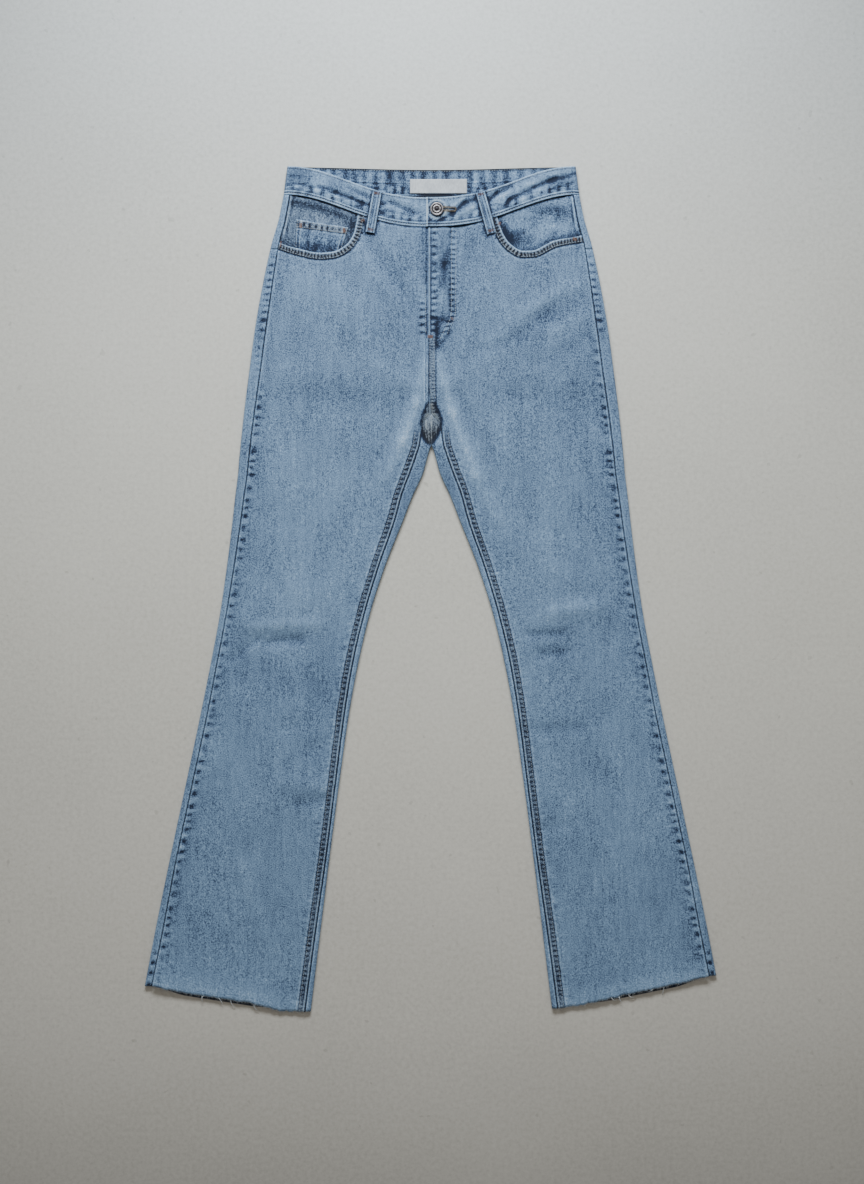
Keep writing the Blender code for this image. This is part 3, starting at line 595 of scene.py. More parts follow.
class Path:
    """Line of points on the cloth, with the distance run along it."""

    def __init__(self, across, down):
        self.points = np.stack([np.asarray(across, float), np.asarray(down, float)], -1)
        steps = np.linalg.norm(np.diff(self.points, axis=0), axis=1)
        self.run = np.concatenate([[0.0], np.cumsum(steps)])

    def at(self, run):
        across = np.interp(run, self.run, self.points[:, 0])
        down = np.interp(run, self.run, self.points[:, 1])
        return across, down

    def nearest(self, across, down, within=40.0):
        """Distance to the path and the run there, for points that lie near it."""
        across, down = np.broadcast_arrays(across, down)
        distance = np.full(across.shape, 1000.0)
        along = np.zeros(across.shape)
        low = self.points.min(0) - within
        high = self.points.max(0) + within
        near = (across > low[0]) & (across < high[0]) & (down > low[1]) & (down < high[1])
        if not near.any():
            return distance, along
        spots = np.stack([across[near], down[near]], -1)
        gaps = np.linalg.norm(spots[:, None, :] - self.points[None, :, :], axis=2)
        best = gaps.argmin(1)
        distance[near] = gaps.min(1)
        along[near] = self.run[best]
        return distance, along


outer_edge = Curve(column(OUTLINE, "down"), column(OUTLINE, "outer"))
inner_edge = Curve(column(OUTLINE, "down"), column(OUTLINE, "inner"))
side_inset = Curve(column(OUTLINE, "down"), column(OUTLINE, "side_inset"))
inseam_across = Curve(column(OUTLINE, "down"), column(OUTLINE, "inseam"))
loft_at = Curve(column(LOFT, "down"), column(LOFT, "thick"))
inseam_down = Curve(column(LEG_ROWS, "side"), column(LEG_ROWS, "inseam"))
fold_turn = Curve(column(LEG_ROWS, "side"), column(LEG_ROWS, "turn"))
wave_noise = Noise(11)
wrinkle_noise = Noise(12)
wobble_noise = Noise(13)
strength_noise = Noise(14)
edge_noise = Noise(15)


def side_seam_point(down):
    return outer_edge(down) - side_inset(down)


def hem_down(share, side):
    name = "left" if side > 0 else "right"
    return np.interp(share, column(HEM, "share"), column(HEM, name))


def under_height(down):
    """Height of the underside of the lower layer."""
    return HIP_LIFT * np.interp(down, [HIP_LIFT_END, LEGS_FLAT], [1.0, 0.0])


def crease_share(across, down, row):
    """How strongly a crease shows at each point, from 0 to 1."""
    run = row.across1 - row.across0
    drop = row.down1 - row.down0
    share = ((across - row.across0) * run + (down - row.down0) * drop) / (run**2 + drop**2)
    share = np.clip(share, 0.0, 1.0)
    off_across = across - row.across0 - share * run
    off_down = down - row.down0 - share * drop
    return bell(np.hypot(off_across, off_down), row.width)


def crease_sum(across, down, creases, name):
    """Total height or tone that creases add at each point."""
    total = 0.0
    for row in creases:
        total = total + getattr(row, name) * crease_share(across, down, row)
    return total


def spot_sum(across, down, name):
    """Total height or tone of the waistband's spots at each point."""
    total = 0.0
    for spot in BAND_SPOTS:
        gap = np.hypot(across - spot.across, down - spot.down)
        total = total + getattr(spot, name) * bell(gap, spot.radius)
    return total


def cloth_waves(across, down):
    """Gentle unevenness of cloth that lies loose."""
    height = 0.55 * wave_noise(across / 48.0, down / 75.0)
    return height + 0.16 * wrinkle_noise(across / 21.0 + 0.2 * down / 21.0, down / 31.0)


def top_height(across, down):
    """Height of the outer face of the upper layer, without its fine detail."""
    distance = np.abs(across)
    height = under_height(down) + loft_at(down)
    outer_gap = outer_edge(down) - distance
    sink = smooth(outer_gap, SINK_NEAR, SINK_FAR)
    sink = sink * smooth(distance - inner_edge(down), SINK_NEAR, SINK_FAR)
    height = height - SINK * sink * smooth(down, SINK_START, SINK_FULL)
    return height + crease_sum(across, down, CREASES, "height")


def dip(share):
    return 0.5 + 0.5 * np.cos(math.pi * np.clip(np.abs(share), 0.0, 1.0) ** DIP_POWER)


def band_low_front(across):
    """Lower seam of the front waistband."""
    return BAND_LOW_SIDE + BAND_LOW_DIP * dip(across / BAND_HALF_LOW)


def back_dip(across):
    share = np.clip(np.abs(across) / BAND_HALF_LOW, 0.0, 1.0)
    return 0.5 + 0.5 * np.cos(math.pi * share)


def band_low_back(across):
    """Lower seam of the back waistband."""
    return BAND_LOW_SIDE + BACK_LOW_DIP * back_dip(across)


def band_flat(down):
    """Height of the front waistband's outer face without its creases."""
    return HIP_LIFT + loft_at(down) + BAND_RAISE


def band_height(across, down):
    """Height of the outer face of the front waistband, with its creases."""
    height = band_flat(down) + crease_sum(across, down, BAND_CREASES, "height")
    height = height + crease_sum(across, down, BAND_FINE_CREASES, "height")
    return height + spot_sum(across, down, "height")


def overlap_lift(across):
    lift = OVERLAP_LIFT * fade(across, OVERLAP_FLAT, OVERLAP_FADE)
    return np.where(across < OVERLAP_END - 1.0, 0.0, lift)


def to_world(across, down, height):
    across, down, height = np.broadcast_arrays(across, down, height)
    points = np.stack([across - ORIGIN_ACROSS, ORIGIN_DOWN - down, height], -1)
    return points * MM


class Detail:
    """What sewing and wear add at each point of a cloth.

    height is in mm and tone from -1, indigo, to 1, faded; tone also carries
    painted shade and painted highlights. phase and strength are the puckers of
    the nearest seam, and streak the light marks beside it. warm turns the indigo
    to the grey brown of undyed and tan yarn, and browns some painted shadows.
    """

    PARTS = ("height", "tone", "warm", "phase", "strength", "streak")

    def __init__(self, shape):
        for name in self.PARTS:
            setattr(self, name, np.zeros(shape))

    def add(self, shape, height=0.0, tone=0.0):
        self.height += height * shape
        self.tone += tone * shape

    def line(self, offset, width, height=0.0, tone=0.0, where=1.0):
        """Groove or ridge that runs at offset 0."""
        self.add(bell(offset, width) * where, height, tone)

    def lines(self, offset, name, where=1.0):
        """The grooves and ridges beside a sewn line."""
        for row in LINES[name]:
            self.line(offset - row.at, row.width, row.height, row.tone, where)

    def step(self, offset, start, end, height=0.0, tone=0.0, where=1.0):
        """Raised cloth that falls away between two offsets."""
        self.add(fade(offset, start, end) * where, height, tone)

    def puckers(self, offset, along, name, where=1.0, spacing=None):
        """Puckers along a seam, at a spacing that is a little irregular."""
        row = PUCKERS[name]
        spacing = row.spacing if spacing is None else spacing
        phase = along / spacing + 0.60 * wobble_noise(along / 27.0, spacing)
        uneven = 0.75 + 0.35 * strength_noise(along / 14.0, 2.0 * spacing)
        shape = bell(offset - row.at, row.width) * where * uneven
        stronger = shape * row.strength > self.strength
        self.phase = np.where(stronger, phase, self.phase)
        self.strength = np.maximum(self.strength, shape * row.strength)
        pulse = (0.5 + 0.5 * np.cos(2 * math.pi * phase)) ** 2
        self.height -= row.depth * shape * pulse

    def creases(self, across, down, rows, height=1.0, tone=1.0):
        self.height += height * crease_sum(across, down, rows, "height")
        self.tone += tone * crease_sum(across, down, rows, "tone")

    def seam(self):
        return np.stack([self.phase, self.strength, self.streak], -1)


def pocket_curves(side):
    """Curves of across and down along a pocket opening."""
    word = "left" if side > 0 else "right"
    stations = np.arange(len(POCKET))
    return [Curve(stations, column(POCKET, f"{word}_{part}")) for part in ("across", "down")]


def pocket_path(side):
    fine = np.linspace(0, len(POCKET) - 1, 161)
    return Path(*(curve(fine) for curve in pocket_curves(side)))


pocket_paths = {1: pocket_path(1), -1: pocket_path(-1)}
POCKET_GAPE = {1: Spot(97, 92, 22, 1.7, 0.0), -1: Spot(104, 100, 18, 0.5, 0.0)}


def across_slope(curve, down):
    step = 2.0
    return (curve(down + step) - curve(down - step)) / (2 * step)


def inseam_offset(distance, down):
    """Distance of a point from the inseam, square to the seam."""
    slope = across_slope(inseam_across, down)
    return (distance - inseam_across(down)) / np.hypot(1.0, slope)


def side_offset(distance, down):
    """Distance of a point inward from the side seam."""
    slope = across_slope(side_seam_point, down)
    return (side_seam_point(down) - distance) / np.hypot(1.0, slope)


def teardrop(side, down):
    """How far the hollow at the crotch reaches to one side."""
    stations = [301, 310, 317, 325, 331, 337, 343, 349, 355, 359]
    left = [2.5, 7.0, 10.5, 13.0, 13.4, 12.0, 9.0, 5.5, 2.0, 0.0]
    right = [4.5, 8.0, 10.5, 13.0, 14.2, 14.2, 13.0, 10.5, 6.0, 1.0]
    return np.interp(down, stations, left if side > 0 else right)


def hollow_stripes(across, down):
    """Folds of the cloth inside that hollow; their tone is painted highlight and shade."""
    turn = across / 3.3 + 0.55 * wobble_noise(across / 6.0, down / 24.0)
    return np.cos(2 * math.pi * turn)


def crotch_pit(distance, down):
    """Hollow below the crotch, between the two inseams."""
    along = smooth(down, 298, 318) * fade(down, 346, 362)
    rim = np.interp(down, [300, 317, 325, 337, 352, 362], [1.5, 5, 9, 13, 12, 4])
    return -3.6 * along * fade(distance, rim - 4.0, rim + 5.0)


# Where the marks along the side seam change from its back to its front side
ROPE_START = {1: 214.0, -1: 262.0}


def leg_inseam_detail(detail, offset, down, where):
    """Felled inseam: a groove, a bright edge and a stitched ridge."""
    detail.lines(offset, "inseam", where)
    detail.step(offset, 8.6, 10.6, height=0.5, where=where)
    detail.step(offset, 7.8, 9.6, tone=-0.24, where=where)
    detail.puckers(offset, down * 1.03, "inseam", where)
    detail.warm += 0.28 * bell(offset - 5.6, 4.2) * where
    detail.streak += 0.5 * bell(offset - 14.0, 5.0) * where


def side_seam_detail(detail, side, offset, down):
    """Side seam whose front side ropes into dark and light marks."""
    start = ROPE_START[side]
    upper = smooth(down, start, start + 30)
    hem_end = fade(down, 1006, 1018)
    uneven = 0.78 + 0.34 * strength_noise(down / 26.0, 5.0)
    detail.lines(offset, "side_seam")
    detail.puckers(offset, down * 1.02, "side_seam", upper * hem_end * uneven)
    detail.streak += 0.5 * bell(offset - 8.0, 6.0) * upper


def fly_detail(detail, distance, down, fly, seam):
    """Left front: the fly's edge and stitching, and the felled centre seam."""
    edge = distance - FLY_EDGE
    detail.lines(edge, "fly_edge", fly)
    detail.puckers(edge, down, "fly_edge", fly)
    detail.streak += 0.7 * bell(edge - 10.0, 5.0) * fly
    detail.tone += -0.10 * bell(edge - 18.0, 14.0) * fly
    stitched = distance - j_stitch_across(down)
    hooked = fly * fade(down, 214, 221)
    detail.lines(stitched, "fly_stitches", hooked)
    detail.puckers(stitched, down, "fly_stitches", hooked)
    detail.lines(edge, "centre_seam", seam)
    detail.puckers(edge, down, "centre_seam", seam)
    detail.warm += 0.28 * bell(edge - 5.2, 4.0) * seam
    detail.creases(distance, down, FLY_CREASES)


def under_fly_detail(detail, distance, down, fly, seam):
    """Right front beside the edge of the fly that laps over it."""
    under = distance + FLY_EDGE
    upper = fade(down, 160, 180)
    detail.lines(under, "under_fly", fly)
    detail.line(under - 4.6, 1.1, height=0.1, tone=0.35, where=fly * smooth(down, 148, 160))
    detail.line(under - 7.4, 0.9, height=-0.1, tone=-0.22, where=fly * upper)
    detail.puckers(under, down, "under_fly", fly * (0.2 + 0.8 * smooth(down, 166, 182)))
    detail.lines(under, "under_seam", seam)


def centre_detail(detail, side, distance, down):
    """Centre front: the fly above and the centre seam below it."""
    fly = fade(down, 214, 224) * smooth(down, 76, 80)
    seam = smooth(down, 216, 226) * fade(down, 308, 326)
    place = fly_detail if side > 0 else under_fly_detail
    place(detail, distance, down, fly, seam)


def j_stitch_across(down):
    """Middle of the fly's stitched line, which hooks in at its lower end."""
    return np.interp(down, [70, 188, 196, 204, 214, 222], [27.6, 26.8, 25.6, 22.4, 17.0, 12.5])


def crotch_detail(detail, side, distance, down):
    """The leg's inseam, and the hollow with folds where both inseams meet."""
    leg = smooth(down, 326, 360)
    inner = inseam_offset(distance, down)
    leg_inseam_detail(detail, inner, down, leg)
    rim = distance - teardrop(side, down)
    above = smooth(down, 300, 306) * fade(down, 328, 336)
    hollow = fade(rim, -1.5, 1.0)
    # painted shadow along the front's inseam edge, where the legs' edges overhang the hollow
    shaded_edge = bell(down - 330, 13) * (1.0 - leg) * (1.0 - 0.85 * hollow)
    detail.step(inner, 0.3, 4.0, height=-0.7, where=bell(down - 328, 18))
    detail.line(inner - 0.3, 1.5, tone=-0.80, where=shaded_edge)
    inside = hollow * smooth(down, 314, 318)
    stripes = hollow_stripes(side * distance, down)
    # shade: painted light inside the hollow that offsets the shade of its sloping top, painted highlight
    # and shade on its folds, and painted shadow round its rim
    shade = 0.22 * hollow + inside * (0.04 + 0.32 * stripes) - bell(rim + 0.6, 2.1)
    detail.tone += above * shade
    detail.warm += above * (0.40 * hollow + 0.10 * inside) * smooth(-rim, 0.0, 3.0)
    crossing = fade(rim, -1.0, 0.5)
    detail.line(down - 315.5, 0.9, height=-0.3, tone=-0.85, where=crossing)


def opening_detail(detail, side, distance, down):
    """Pocket opening: how it gapes, its turned edge and its stitching."""
    opening, along = pocket_paths[side].nearest(distance, down)
    upper = fade(down, 150, 170)
    gape = POCKET_GAPE[side]
    lift = bell(np.hypot(distance - gape.across, down - gape.down), gape.radius)
    detail.height += gape.height * lift * fade(opening, 0.0, 26.0)
    detail.step(opening, 7.4, 9.4, height=0.6, where=upper)
    # the pocket lines include painted shade at the foot of the turned hem
    detail.lines(opening, "pocket", upper)
    detail.puckers(opening, along, "pocket", upper)
    detail.warm += 0.7 * bell(opening - 5.2, 2.6) * upper


def front_detail(side, distance, down):
    """Everything sewn or worn into a front panel, with painted shade and highlights. distance is from
    the centre.
    """
    distance, down = np.broadcast_arrays(np.asarray(distance, float), np.asarray(down, float))
    detail = Detail(distance.shape)
    across = side * distance
    detail.height += cloth_waves(across, down) * smooth(distance, 2.0, 30.0)
    # crease tone: worn indigo with painted highlight and painted shade
    detail.creases(across, down, FINE_CREASES)
    detail.creases(across, down, CREASES, height=0.0)
    crotch_detail(detail, side, distance, down)
    side_seam_detail(detail, side, side_offset(distance, down), down)
    centre_detail(detail, side, distance, down)
    opening_detail(detail, side, distance, down)
    # groove with painted shade under the waistband's edge
    near_waist = fade(distance, 170, 190)
    detail.lines(down - band_low_front(across), "waist", near_waist)
    detail.tone += loop_shadow(across, down)
    hem = hem_gap(side, distance, down)
    detail.tone += 0.16 * fade(hem, 6.0, 26.0)
    detail.line(hem, 1.6, tone=0.25)
    detail.height += 1.8 * bell(hem, 26.0) * smooth(distance - inner_edge(down), 20.0, 60.0)
    detail.height -= 0.4 * bell(hem, 1.2)
    detail.tone += 0.05 * bell(np.hypot((distance - 120) / 70.0, (down - 470) / 190.0), 1.0)
    # painted light: lighter towards the hems and darker at the hips, evening out how the window light
    # falls off along the legs
    detail.tone += 0.045 * smooth(down, 560, 760) - 0.03 * fade(down, 260, 400)
    return detail


def hem_gap(side, distance, down):
    """Distance of a point above the hem."""
    inner = inner_edge(down)
    share = (distance - inner) / np.maximum(outer_edge(down) - inner, 1.0)
    return hem_down(np.clip(share, 0.0, 1.0), side) - down


def fly_lift(side, distance, down):
    if side < 0:
        return 0.0
    lift = (CLOTH + SEAM_GAP) * fade(distance, FLY_FLAT, FLY_FADE)
    return lift * np.interp(down, [LAP_END, CROTCH_DOWN], [1.0, 0.0])


def front_height(side, distance, down, detail):
    height = top_height(side * distance, down) + crotch_pit(np.abs(distance), down)
    return height + fly_lift(side, distance, down) + detail.height


jeans = bpy.data.collections.new("jeans_cloth")
bpy.context.scene.collection.children.link(jeans)


def apply_modifiers(obj):
    graph = bpy.context.evaluated_depsgraph_get()
    solid = bpy.data.meshes.new_from_object(obj.evaluated_get(graph))
    obj.modifiers.clear()
    old = obj.data
    obj.data = solid
    bpy.data.meshes.remove(old)
    solid.name = obj.name


def mesh_object(name, points, faces, material):
    mesh = bpy.data.meshes.new(name)
    mesh.from_pydata(points.tolist(), [], faces.tolist())
    mesh.materials.append(material)
    mesh.shade_smooth()
    obj = bpy.data.objects.new(name, mesh)
    jeans.objects.link(obj)
    return obj


def face_outward(mesh):
    builder = bmesh.new()
    builder.from_mesh(mesh)
    bmesh.ops.recalc_face_normals(builder, faces=builder.faces)
    builder.to_mesh(mesh)
    builder.free()


def halved(quads):
    """Two triangles for each four-sided face."""
    return [half for a, b, c, d in quads for half in ((a, b, c), (a, c, d))]


def small_forms(name, forms, triangles, material):
    """One mesh of many small forms that have the same faces."""
    count, each = forms.shape[:2]
    faces = np.array(triangles)[None] + each * np.arange(count)[:, None, None]
    points = to_world(*np.moveaxis(forms.reshape(-1, 3), 1, 0))
    obj = mesh_object(name, points, faces.reshape(-1, 3), material)
    face_outward(obj.data)
    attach(obj, "root")
    return obj


def paint(obj, detail):
    mesh = obj.data
    for name in ("tone", "warm"):
        values = getattr(detail, name).astype(np.float32)
        mesh.attributes.new(name, "FLOAT", "POINT").data.foreach_set("value", values.ravel())
    seams = mesh.attributes.new("seam", "FLOAT_VECTOR", "POINT")
    seams.data.foreach_set("vector", detail.seam().astype(np.float32).ravel())


def cloth_piece(name, place, detail, wall, material, upward=True, keep=None):
    """Closed cloth whose outer face is the grid of points in place.

    place holds across, down and height as arrays of rows and columns.
    """
    points = to_world(*place)
    rows, columns = points.shape[:2]
    index = np.arange(rows * columns).reshape(rows, columns)
    corners = [index[:-1, :-1], index[:-1, 1:], index[1:, 1:], index[1:, :-1]]
    faces = np.stack(corners, -1)
    first = points[0, 0]
    lift = np.cross(points[0, 1] - first, points[1, 0] - first)[2]
    if (lift > 0) != upward:
        faces = faces[..., ::-1]
    if keep is not None:
        faces = faces[keep]
    faces = faces.reshape(-1, 4)
    obj = mesh_object(name, points.reshape(-1, 3), faces, material)
    paint(obj, detail)
    if keep is not None:
        builder = bmesh.new()
        builder.from_mesh(obj.data)
        loose = [vert for vert in builder.verts if not vert.link_faces]
        bmesh.ops.delete(builder, geom=loose, context="VERTS")
        builder.to_mesh(obj.data)
        builder.free()
    solidify = obj.modifiers.new("wall", "SOLIDIFY")
    solidify.thickness = wall * MM
    solidify.offset = -1.0
    solidify.use_even_offset = False
    solidify.use_rim = True
    apply_modifiers(obj)
    obj.data.shade_smooth()
    return obj


def finish_piece(piece, node):
    """The piece rides on the frame and stands for its solid."""
    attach(piece, "root")
    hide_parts(node)


def dress(node, place, detail, wall, material, upward=True, keep=None):
    """Cloth that stands for the solid of that name."""
    finish_piece(cloth_piece("cloth_" + node, place, detail, wall, material, upward, keep), node)


def spread(inner, outer, near_inner, near_outer, middle):
    """Columns at fixed distances from both edges, with even ones between."""
    first = inner[:, None] + np.asarray(near_inner)
    last = outer[:, None] - np.asarray(near_outer)[::-1]
    shares = np.linspace(0, 1, middle + 2)[1:-1]
    between = lerp(first[:, -1:], last[:, :1], shares)
    return np.concatenate([first, between, last], axis=1)


NEAR_INSEAM = [0, 0.8, 1.6, 2.6, 3.6, 5, 6.2, 7.6, 8.8, 9.8, 11.2, 12.6, 14.4]
NEAR_SIDE = [0, 0.8, 1.8, 3, 4.4, 6, 7.8, 9.8, 12]
LEG_STEP = 3.0
CROTCH_STEP = 1.5
CROTCH_ROWS_END = 403.0
HEM_ROWS = 56


def hip_falls():
    """Shares of the way from the pocket edge down to the crotch."""
    fine = np.linspace(0.0, 0.06, 14)
    return np.concatenate([fine, np.linspace(0.06, 1.0, 80)[1:-1]])


def leg_side_rows():
    crotch = np.arange(FORK_DOWN, CROTCH_ROWS_END, CROTCH_STEP)
    return np.concatenate([crotch, np.arange(CROTCH_ROWS_END, CALF_DOWN, LEG_STEP)])


def leg_rows(side, part):
    """Distance down of a leg's rows at its side or inner edge, and the hem's share."""
    falls = np.linspace(0.0, 1.0, HEM_ROWS)
    rows = leg_side_rows()
    upper = rows if part == "side" else inseam_down(rows)
    hem = hem_down(1.0 if part == "side" else 0.0, side)
    fall = np.concatenate([np.zeros(len(rows)), falls])
    return np.concatenate([upper, lerp(CALF_DOWN, hem, falls)]), fall


def ragged_hem(side, share):
    """Small unevenness of the raw cut edge."""
    seed = 3.0 if side > 0 else 9.0
    return 0.9 * edge_noise(share * 60.0, seed) + 0.5 * edge_noise(share * 23.0, seed + 1)


def front_inner(side, down):
    """Centre edge of a front on its own side."""
    if side > 0:
        return np.interp(down, [LAP_END, CROTCH_DOWN], [FLY_EDGE, HALF_GAP])
    stations = [UNDER_END, UNDER_GONE, LAP_END, CROTCH_DOWN]
    return np.interp(down, stations, [FLY_UNDER, FLY_CLEAR, FLY_CLEAR, HALF_GAP])


def front_hips(side):
    """Across and down of the hip part, whose top follows the pocket edge."""
    pocket_across, pocket_down = pocket_curves(side)
    last = len(POCKET) - 1
    falls = hip_falls()[:, None]
    edge = FLY_EDGE if side > 0 else FLY_UNDER
    waist_down = band_low_front(edge) + HALF_GAP
    inner = front_inner(side, lerp(waist_down, CROTCH_DOWN, falls[:, 0]))
    outer_down = lerp(pocket_down(last), FORK_DOWN, falls[:, 0])
    outer = side_seam_point(outer_down) - HALF_GAP
    even = spread(inner, outer, NEAR_INSEAM, NEAR_SIDE, 55)
    share = (even - even[:, :1]) / (even[:, -1:] - even[:, :1])
    waist_across = lerp(edge, pocket_across(0), np.clip(share / WAIST_SHARE, 0, 1))
    turn = (share - WAIST_SHARE) / (1 - WAIST_SHARE) * last
    on_pocket = share > WAIST_SHARE
    top_across = np.where(on_pocket, pocket_across(turn), waist_across)
    waist_edge = band_low_front(waist_across) + HALF_GAP
    top_down = np.where(on_pocket, pocket_down(turn), waist_edge)
    follow = fade(falls, 0.0, TOP_SHAPE_END) * fade(share, 0.93, 1.0)
    across = lerp(even, top_across, follow)
    down = lerp(top_down, lerp(CROTCH_DOWN, FORK_DOWN, share), falls)
    return across, down


def front_leg(side):
    side_all, falls = leg_rows(side, "side")
    inner_all, _ = leg_rows(side, "inner")
    inner = inseam_across(inner_all) + HALF_GAP
    outer = side_seam_point(side_all) - HALF_GAP
    across = spread(inner, outer, NEAR_INSEAM, NEAR_SIDE, 55)
    share = (across - across[:, :1]) / (across[:, -1:] - across[:, :1])
    down = lerp(inner_all[:, None], side_all[:, None], share)
    hem = hem_down(share, side) + ragged_hem(side, share)
    fall = falls[:, None]
    return across, np.where(fall > 0, lerp(CALF_DOWN, hem, fall), down)


def build_front(side):
    parts = [front_hips(side), front_leg(side)]
    across, down = (np.concatenate([part[index] for part in parts]) for index in range(2))
    detail = front_detail(side, across, down)
    height = front_height(side, across, down, detail)
    dress(sided("front", side), (side * across, down, height), detail, CLOTH, denim["main"])


STRIP_COLUMNS = 6
ARC_COLUMNS = 8
BOTTOM_COLUMNS = 46
INNER_STRIP_COLUMNS = 11
BACK_HEM_SHOW = 5.0


def arc(start_height, end_height, reach, count):
    """Half turn of a pressed fold: how far in from its edge, and the height."""
    angles = np.linspace(math.pi / 2, -math.pi / 2, count + 2)[1:-1]
    middle = (start_height + end_height) / 2
    half = (start_height - end_height) / 2
    inward = reach * (1.0 - np.cos(angles))
    return inward, middle[:, None] + half[:, None] * np.sin(angles)


def back_strip_detail(side, distance, down):
    """Side strip of the back, beyond the side seam."""
    detail = Detail(distance.shape)
    offset = -side_offset(distance, down)
    detail.lines(offset, "side_strip")
    near_hem = smooth(down, 1000, 1012)
    last = ROPE_START[side]
    near_hip = smooth(down, 112, 124) * fade(down, last - 12, last + 20)
    uneven = 0.85 + 0.4 * strength_noise(down / 22.0, 9.0)
    where = np.maximum(near_hem, near_hip * uneven)
    detail.puckers(offset, down, "side_strip", where, np.where(down > 600, 12.6, 9.6))
    detail.tone += 0.02 - 0.16 * bell(down - 205, 24.0)
    detail.height += 0.12 * wrinkle_noise(distance / 9.0, down / 16.0)
    return detail


def inner_strip_detail(side, distance, down):
    """Strip of the back leg beyond the inseam."""
    detail = Detail(distance.shape)
    rim = distance - teardrop(side, down)
    stripes = hollow_stripes(side * distance, down)
    here = smooth(down, 300, 312) * fade(down, 354, 359)
    hollow = here * fade(rim, -1.5, 1.0)
    detail.lines(-inseam_offset(distance, down), "inner_strip", 1.0 - 0.8 * hollow)
    depth = smooth(down, 322, 350)
    # inside the hollow: lighter at its top, painted shade deepening towards its bottom, and painted
    # highlight and shade on its folds
    detail.tone += 0.06 + hollow * (lerp(0.22, -0.45, depth) + 0.36 * stripes)
    detail.warm += hollow * lerp(0.50, 0.75, depth) * smooth(-rim, 0.0, 3.0)
    # painted shadow round the rim of the hollow
    detail.tone += -1.05 * here * bell(rim + 0.8, 2.7)
    # painted shade on the strip from the crotch down towards the knee
    detail.tone += -0.16 * fade(down, 430, 560) * (1.0 - here)
    detail.height += 0.25 * hollow * stripes
    return detail


def outer_wrap(side, down):
    """Side strip and outer fold: across, down, height and detail by column."""
    edge = outer_edge(down)
    reach = FOLD_REACH + CLOTH / 2
    base = edge - reach
    seam = side_seam_point(down) + HALF_GAP
    shares = np.linspace(0, 1, STRIP_COLUMNS + 1)
    strip = lerp(seam[:, None], base[:, None], shares)
    strip_down = np.broadcast_to(down[:, None], strip.shape)
    detail = back_strip_detail(side, strip, strip_down)
    top = top_height(side * strip, strip_down) + detail.height
    inward, arc_height = arc(top[:, -1], under_height(down), reach, ARC_COLUMNS)
    arc_across = edge[:, None] - np.broadcast_to(inward, arc_height.shape)
    across = np.concatenate([strip, arc_across], axis=1)
    height = np.concatenate([top, arc_height], axis=1)
    return across, np.broadcast_to(down[:, None], across.shape), height, detail


def padded_detail(parts, shape):
    """One detail from details beside each other, plain where None stands."""
    whole = Detail(shape)
    start = 0
    for part, columns in parts:
        if part is not None:
            span = slice(start, start + columns)
            for name in Detail.PARTS[1:]:
                getattr(whole, name)[:, span] = getattr(part, name)
        start += columns
    return whole


def back_rows(side):
    """Side, fold and seam distances down, fold turn and leg flag of each row."""
    hips = np.linspace(YOKE_SIDE, FORK_DOWN, 78)[:-1]
    legs = leg_side_rows()
    leg_side, falls = leg_rows(side, "side")
    leg_seam, _ = leg_rows(side, "inner")
    side_down = np.concatenate([hips, leg_side])
    centre = lerp(YOKE_CENTRE, FORK_DOWN, (hips - YOKE_SIDE) / (FORK_DOWN - YOKE_SIDE))
    edge_down = np.concatenate([centre + HALF_GAP, legs, leg_seam[len(legs):]])
    seam_down = np.concatenate([centre, leg_seam])
    turns = [np.full(len(hips), 90.0), fold_turn(legs), np.full(HEM_ROWS, 7.0)]
    leg = np.arange(len(side_down)) >= len(hips)
    hem_fall = np.concatenate([np.zeros(len(hips)), falls])
    side_down[0] += HALF_GAP
    return side_down, edge_down, seam_down, np.radians(np.concatenate(turns)), leg, hem_fall


def under_detail(across, down):
    """Bottom layer: flat where it rests, worn a little unevenly."""
    detail = Detail(across.shape)
    detail.tone += 0.07 * wave_noise(across / 40.0 + 7.0, down / 70.0)
    return detail


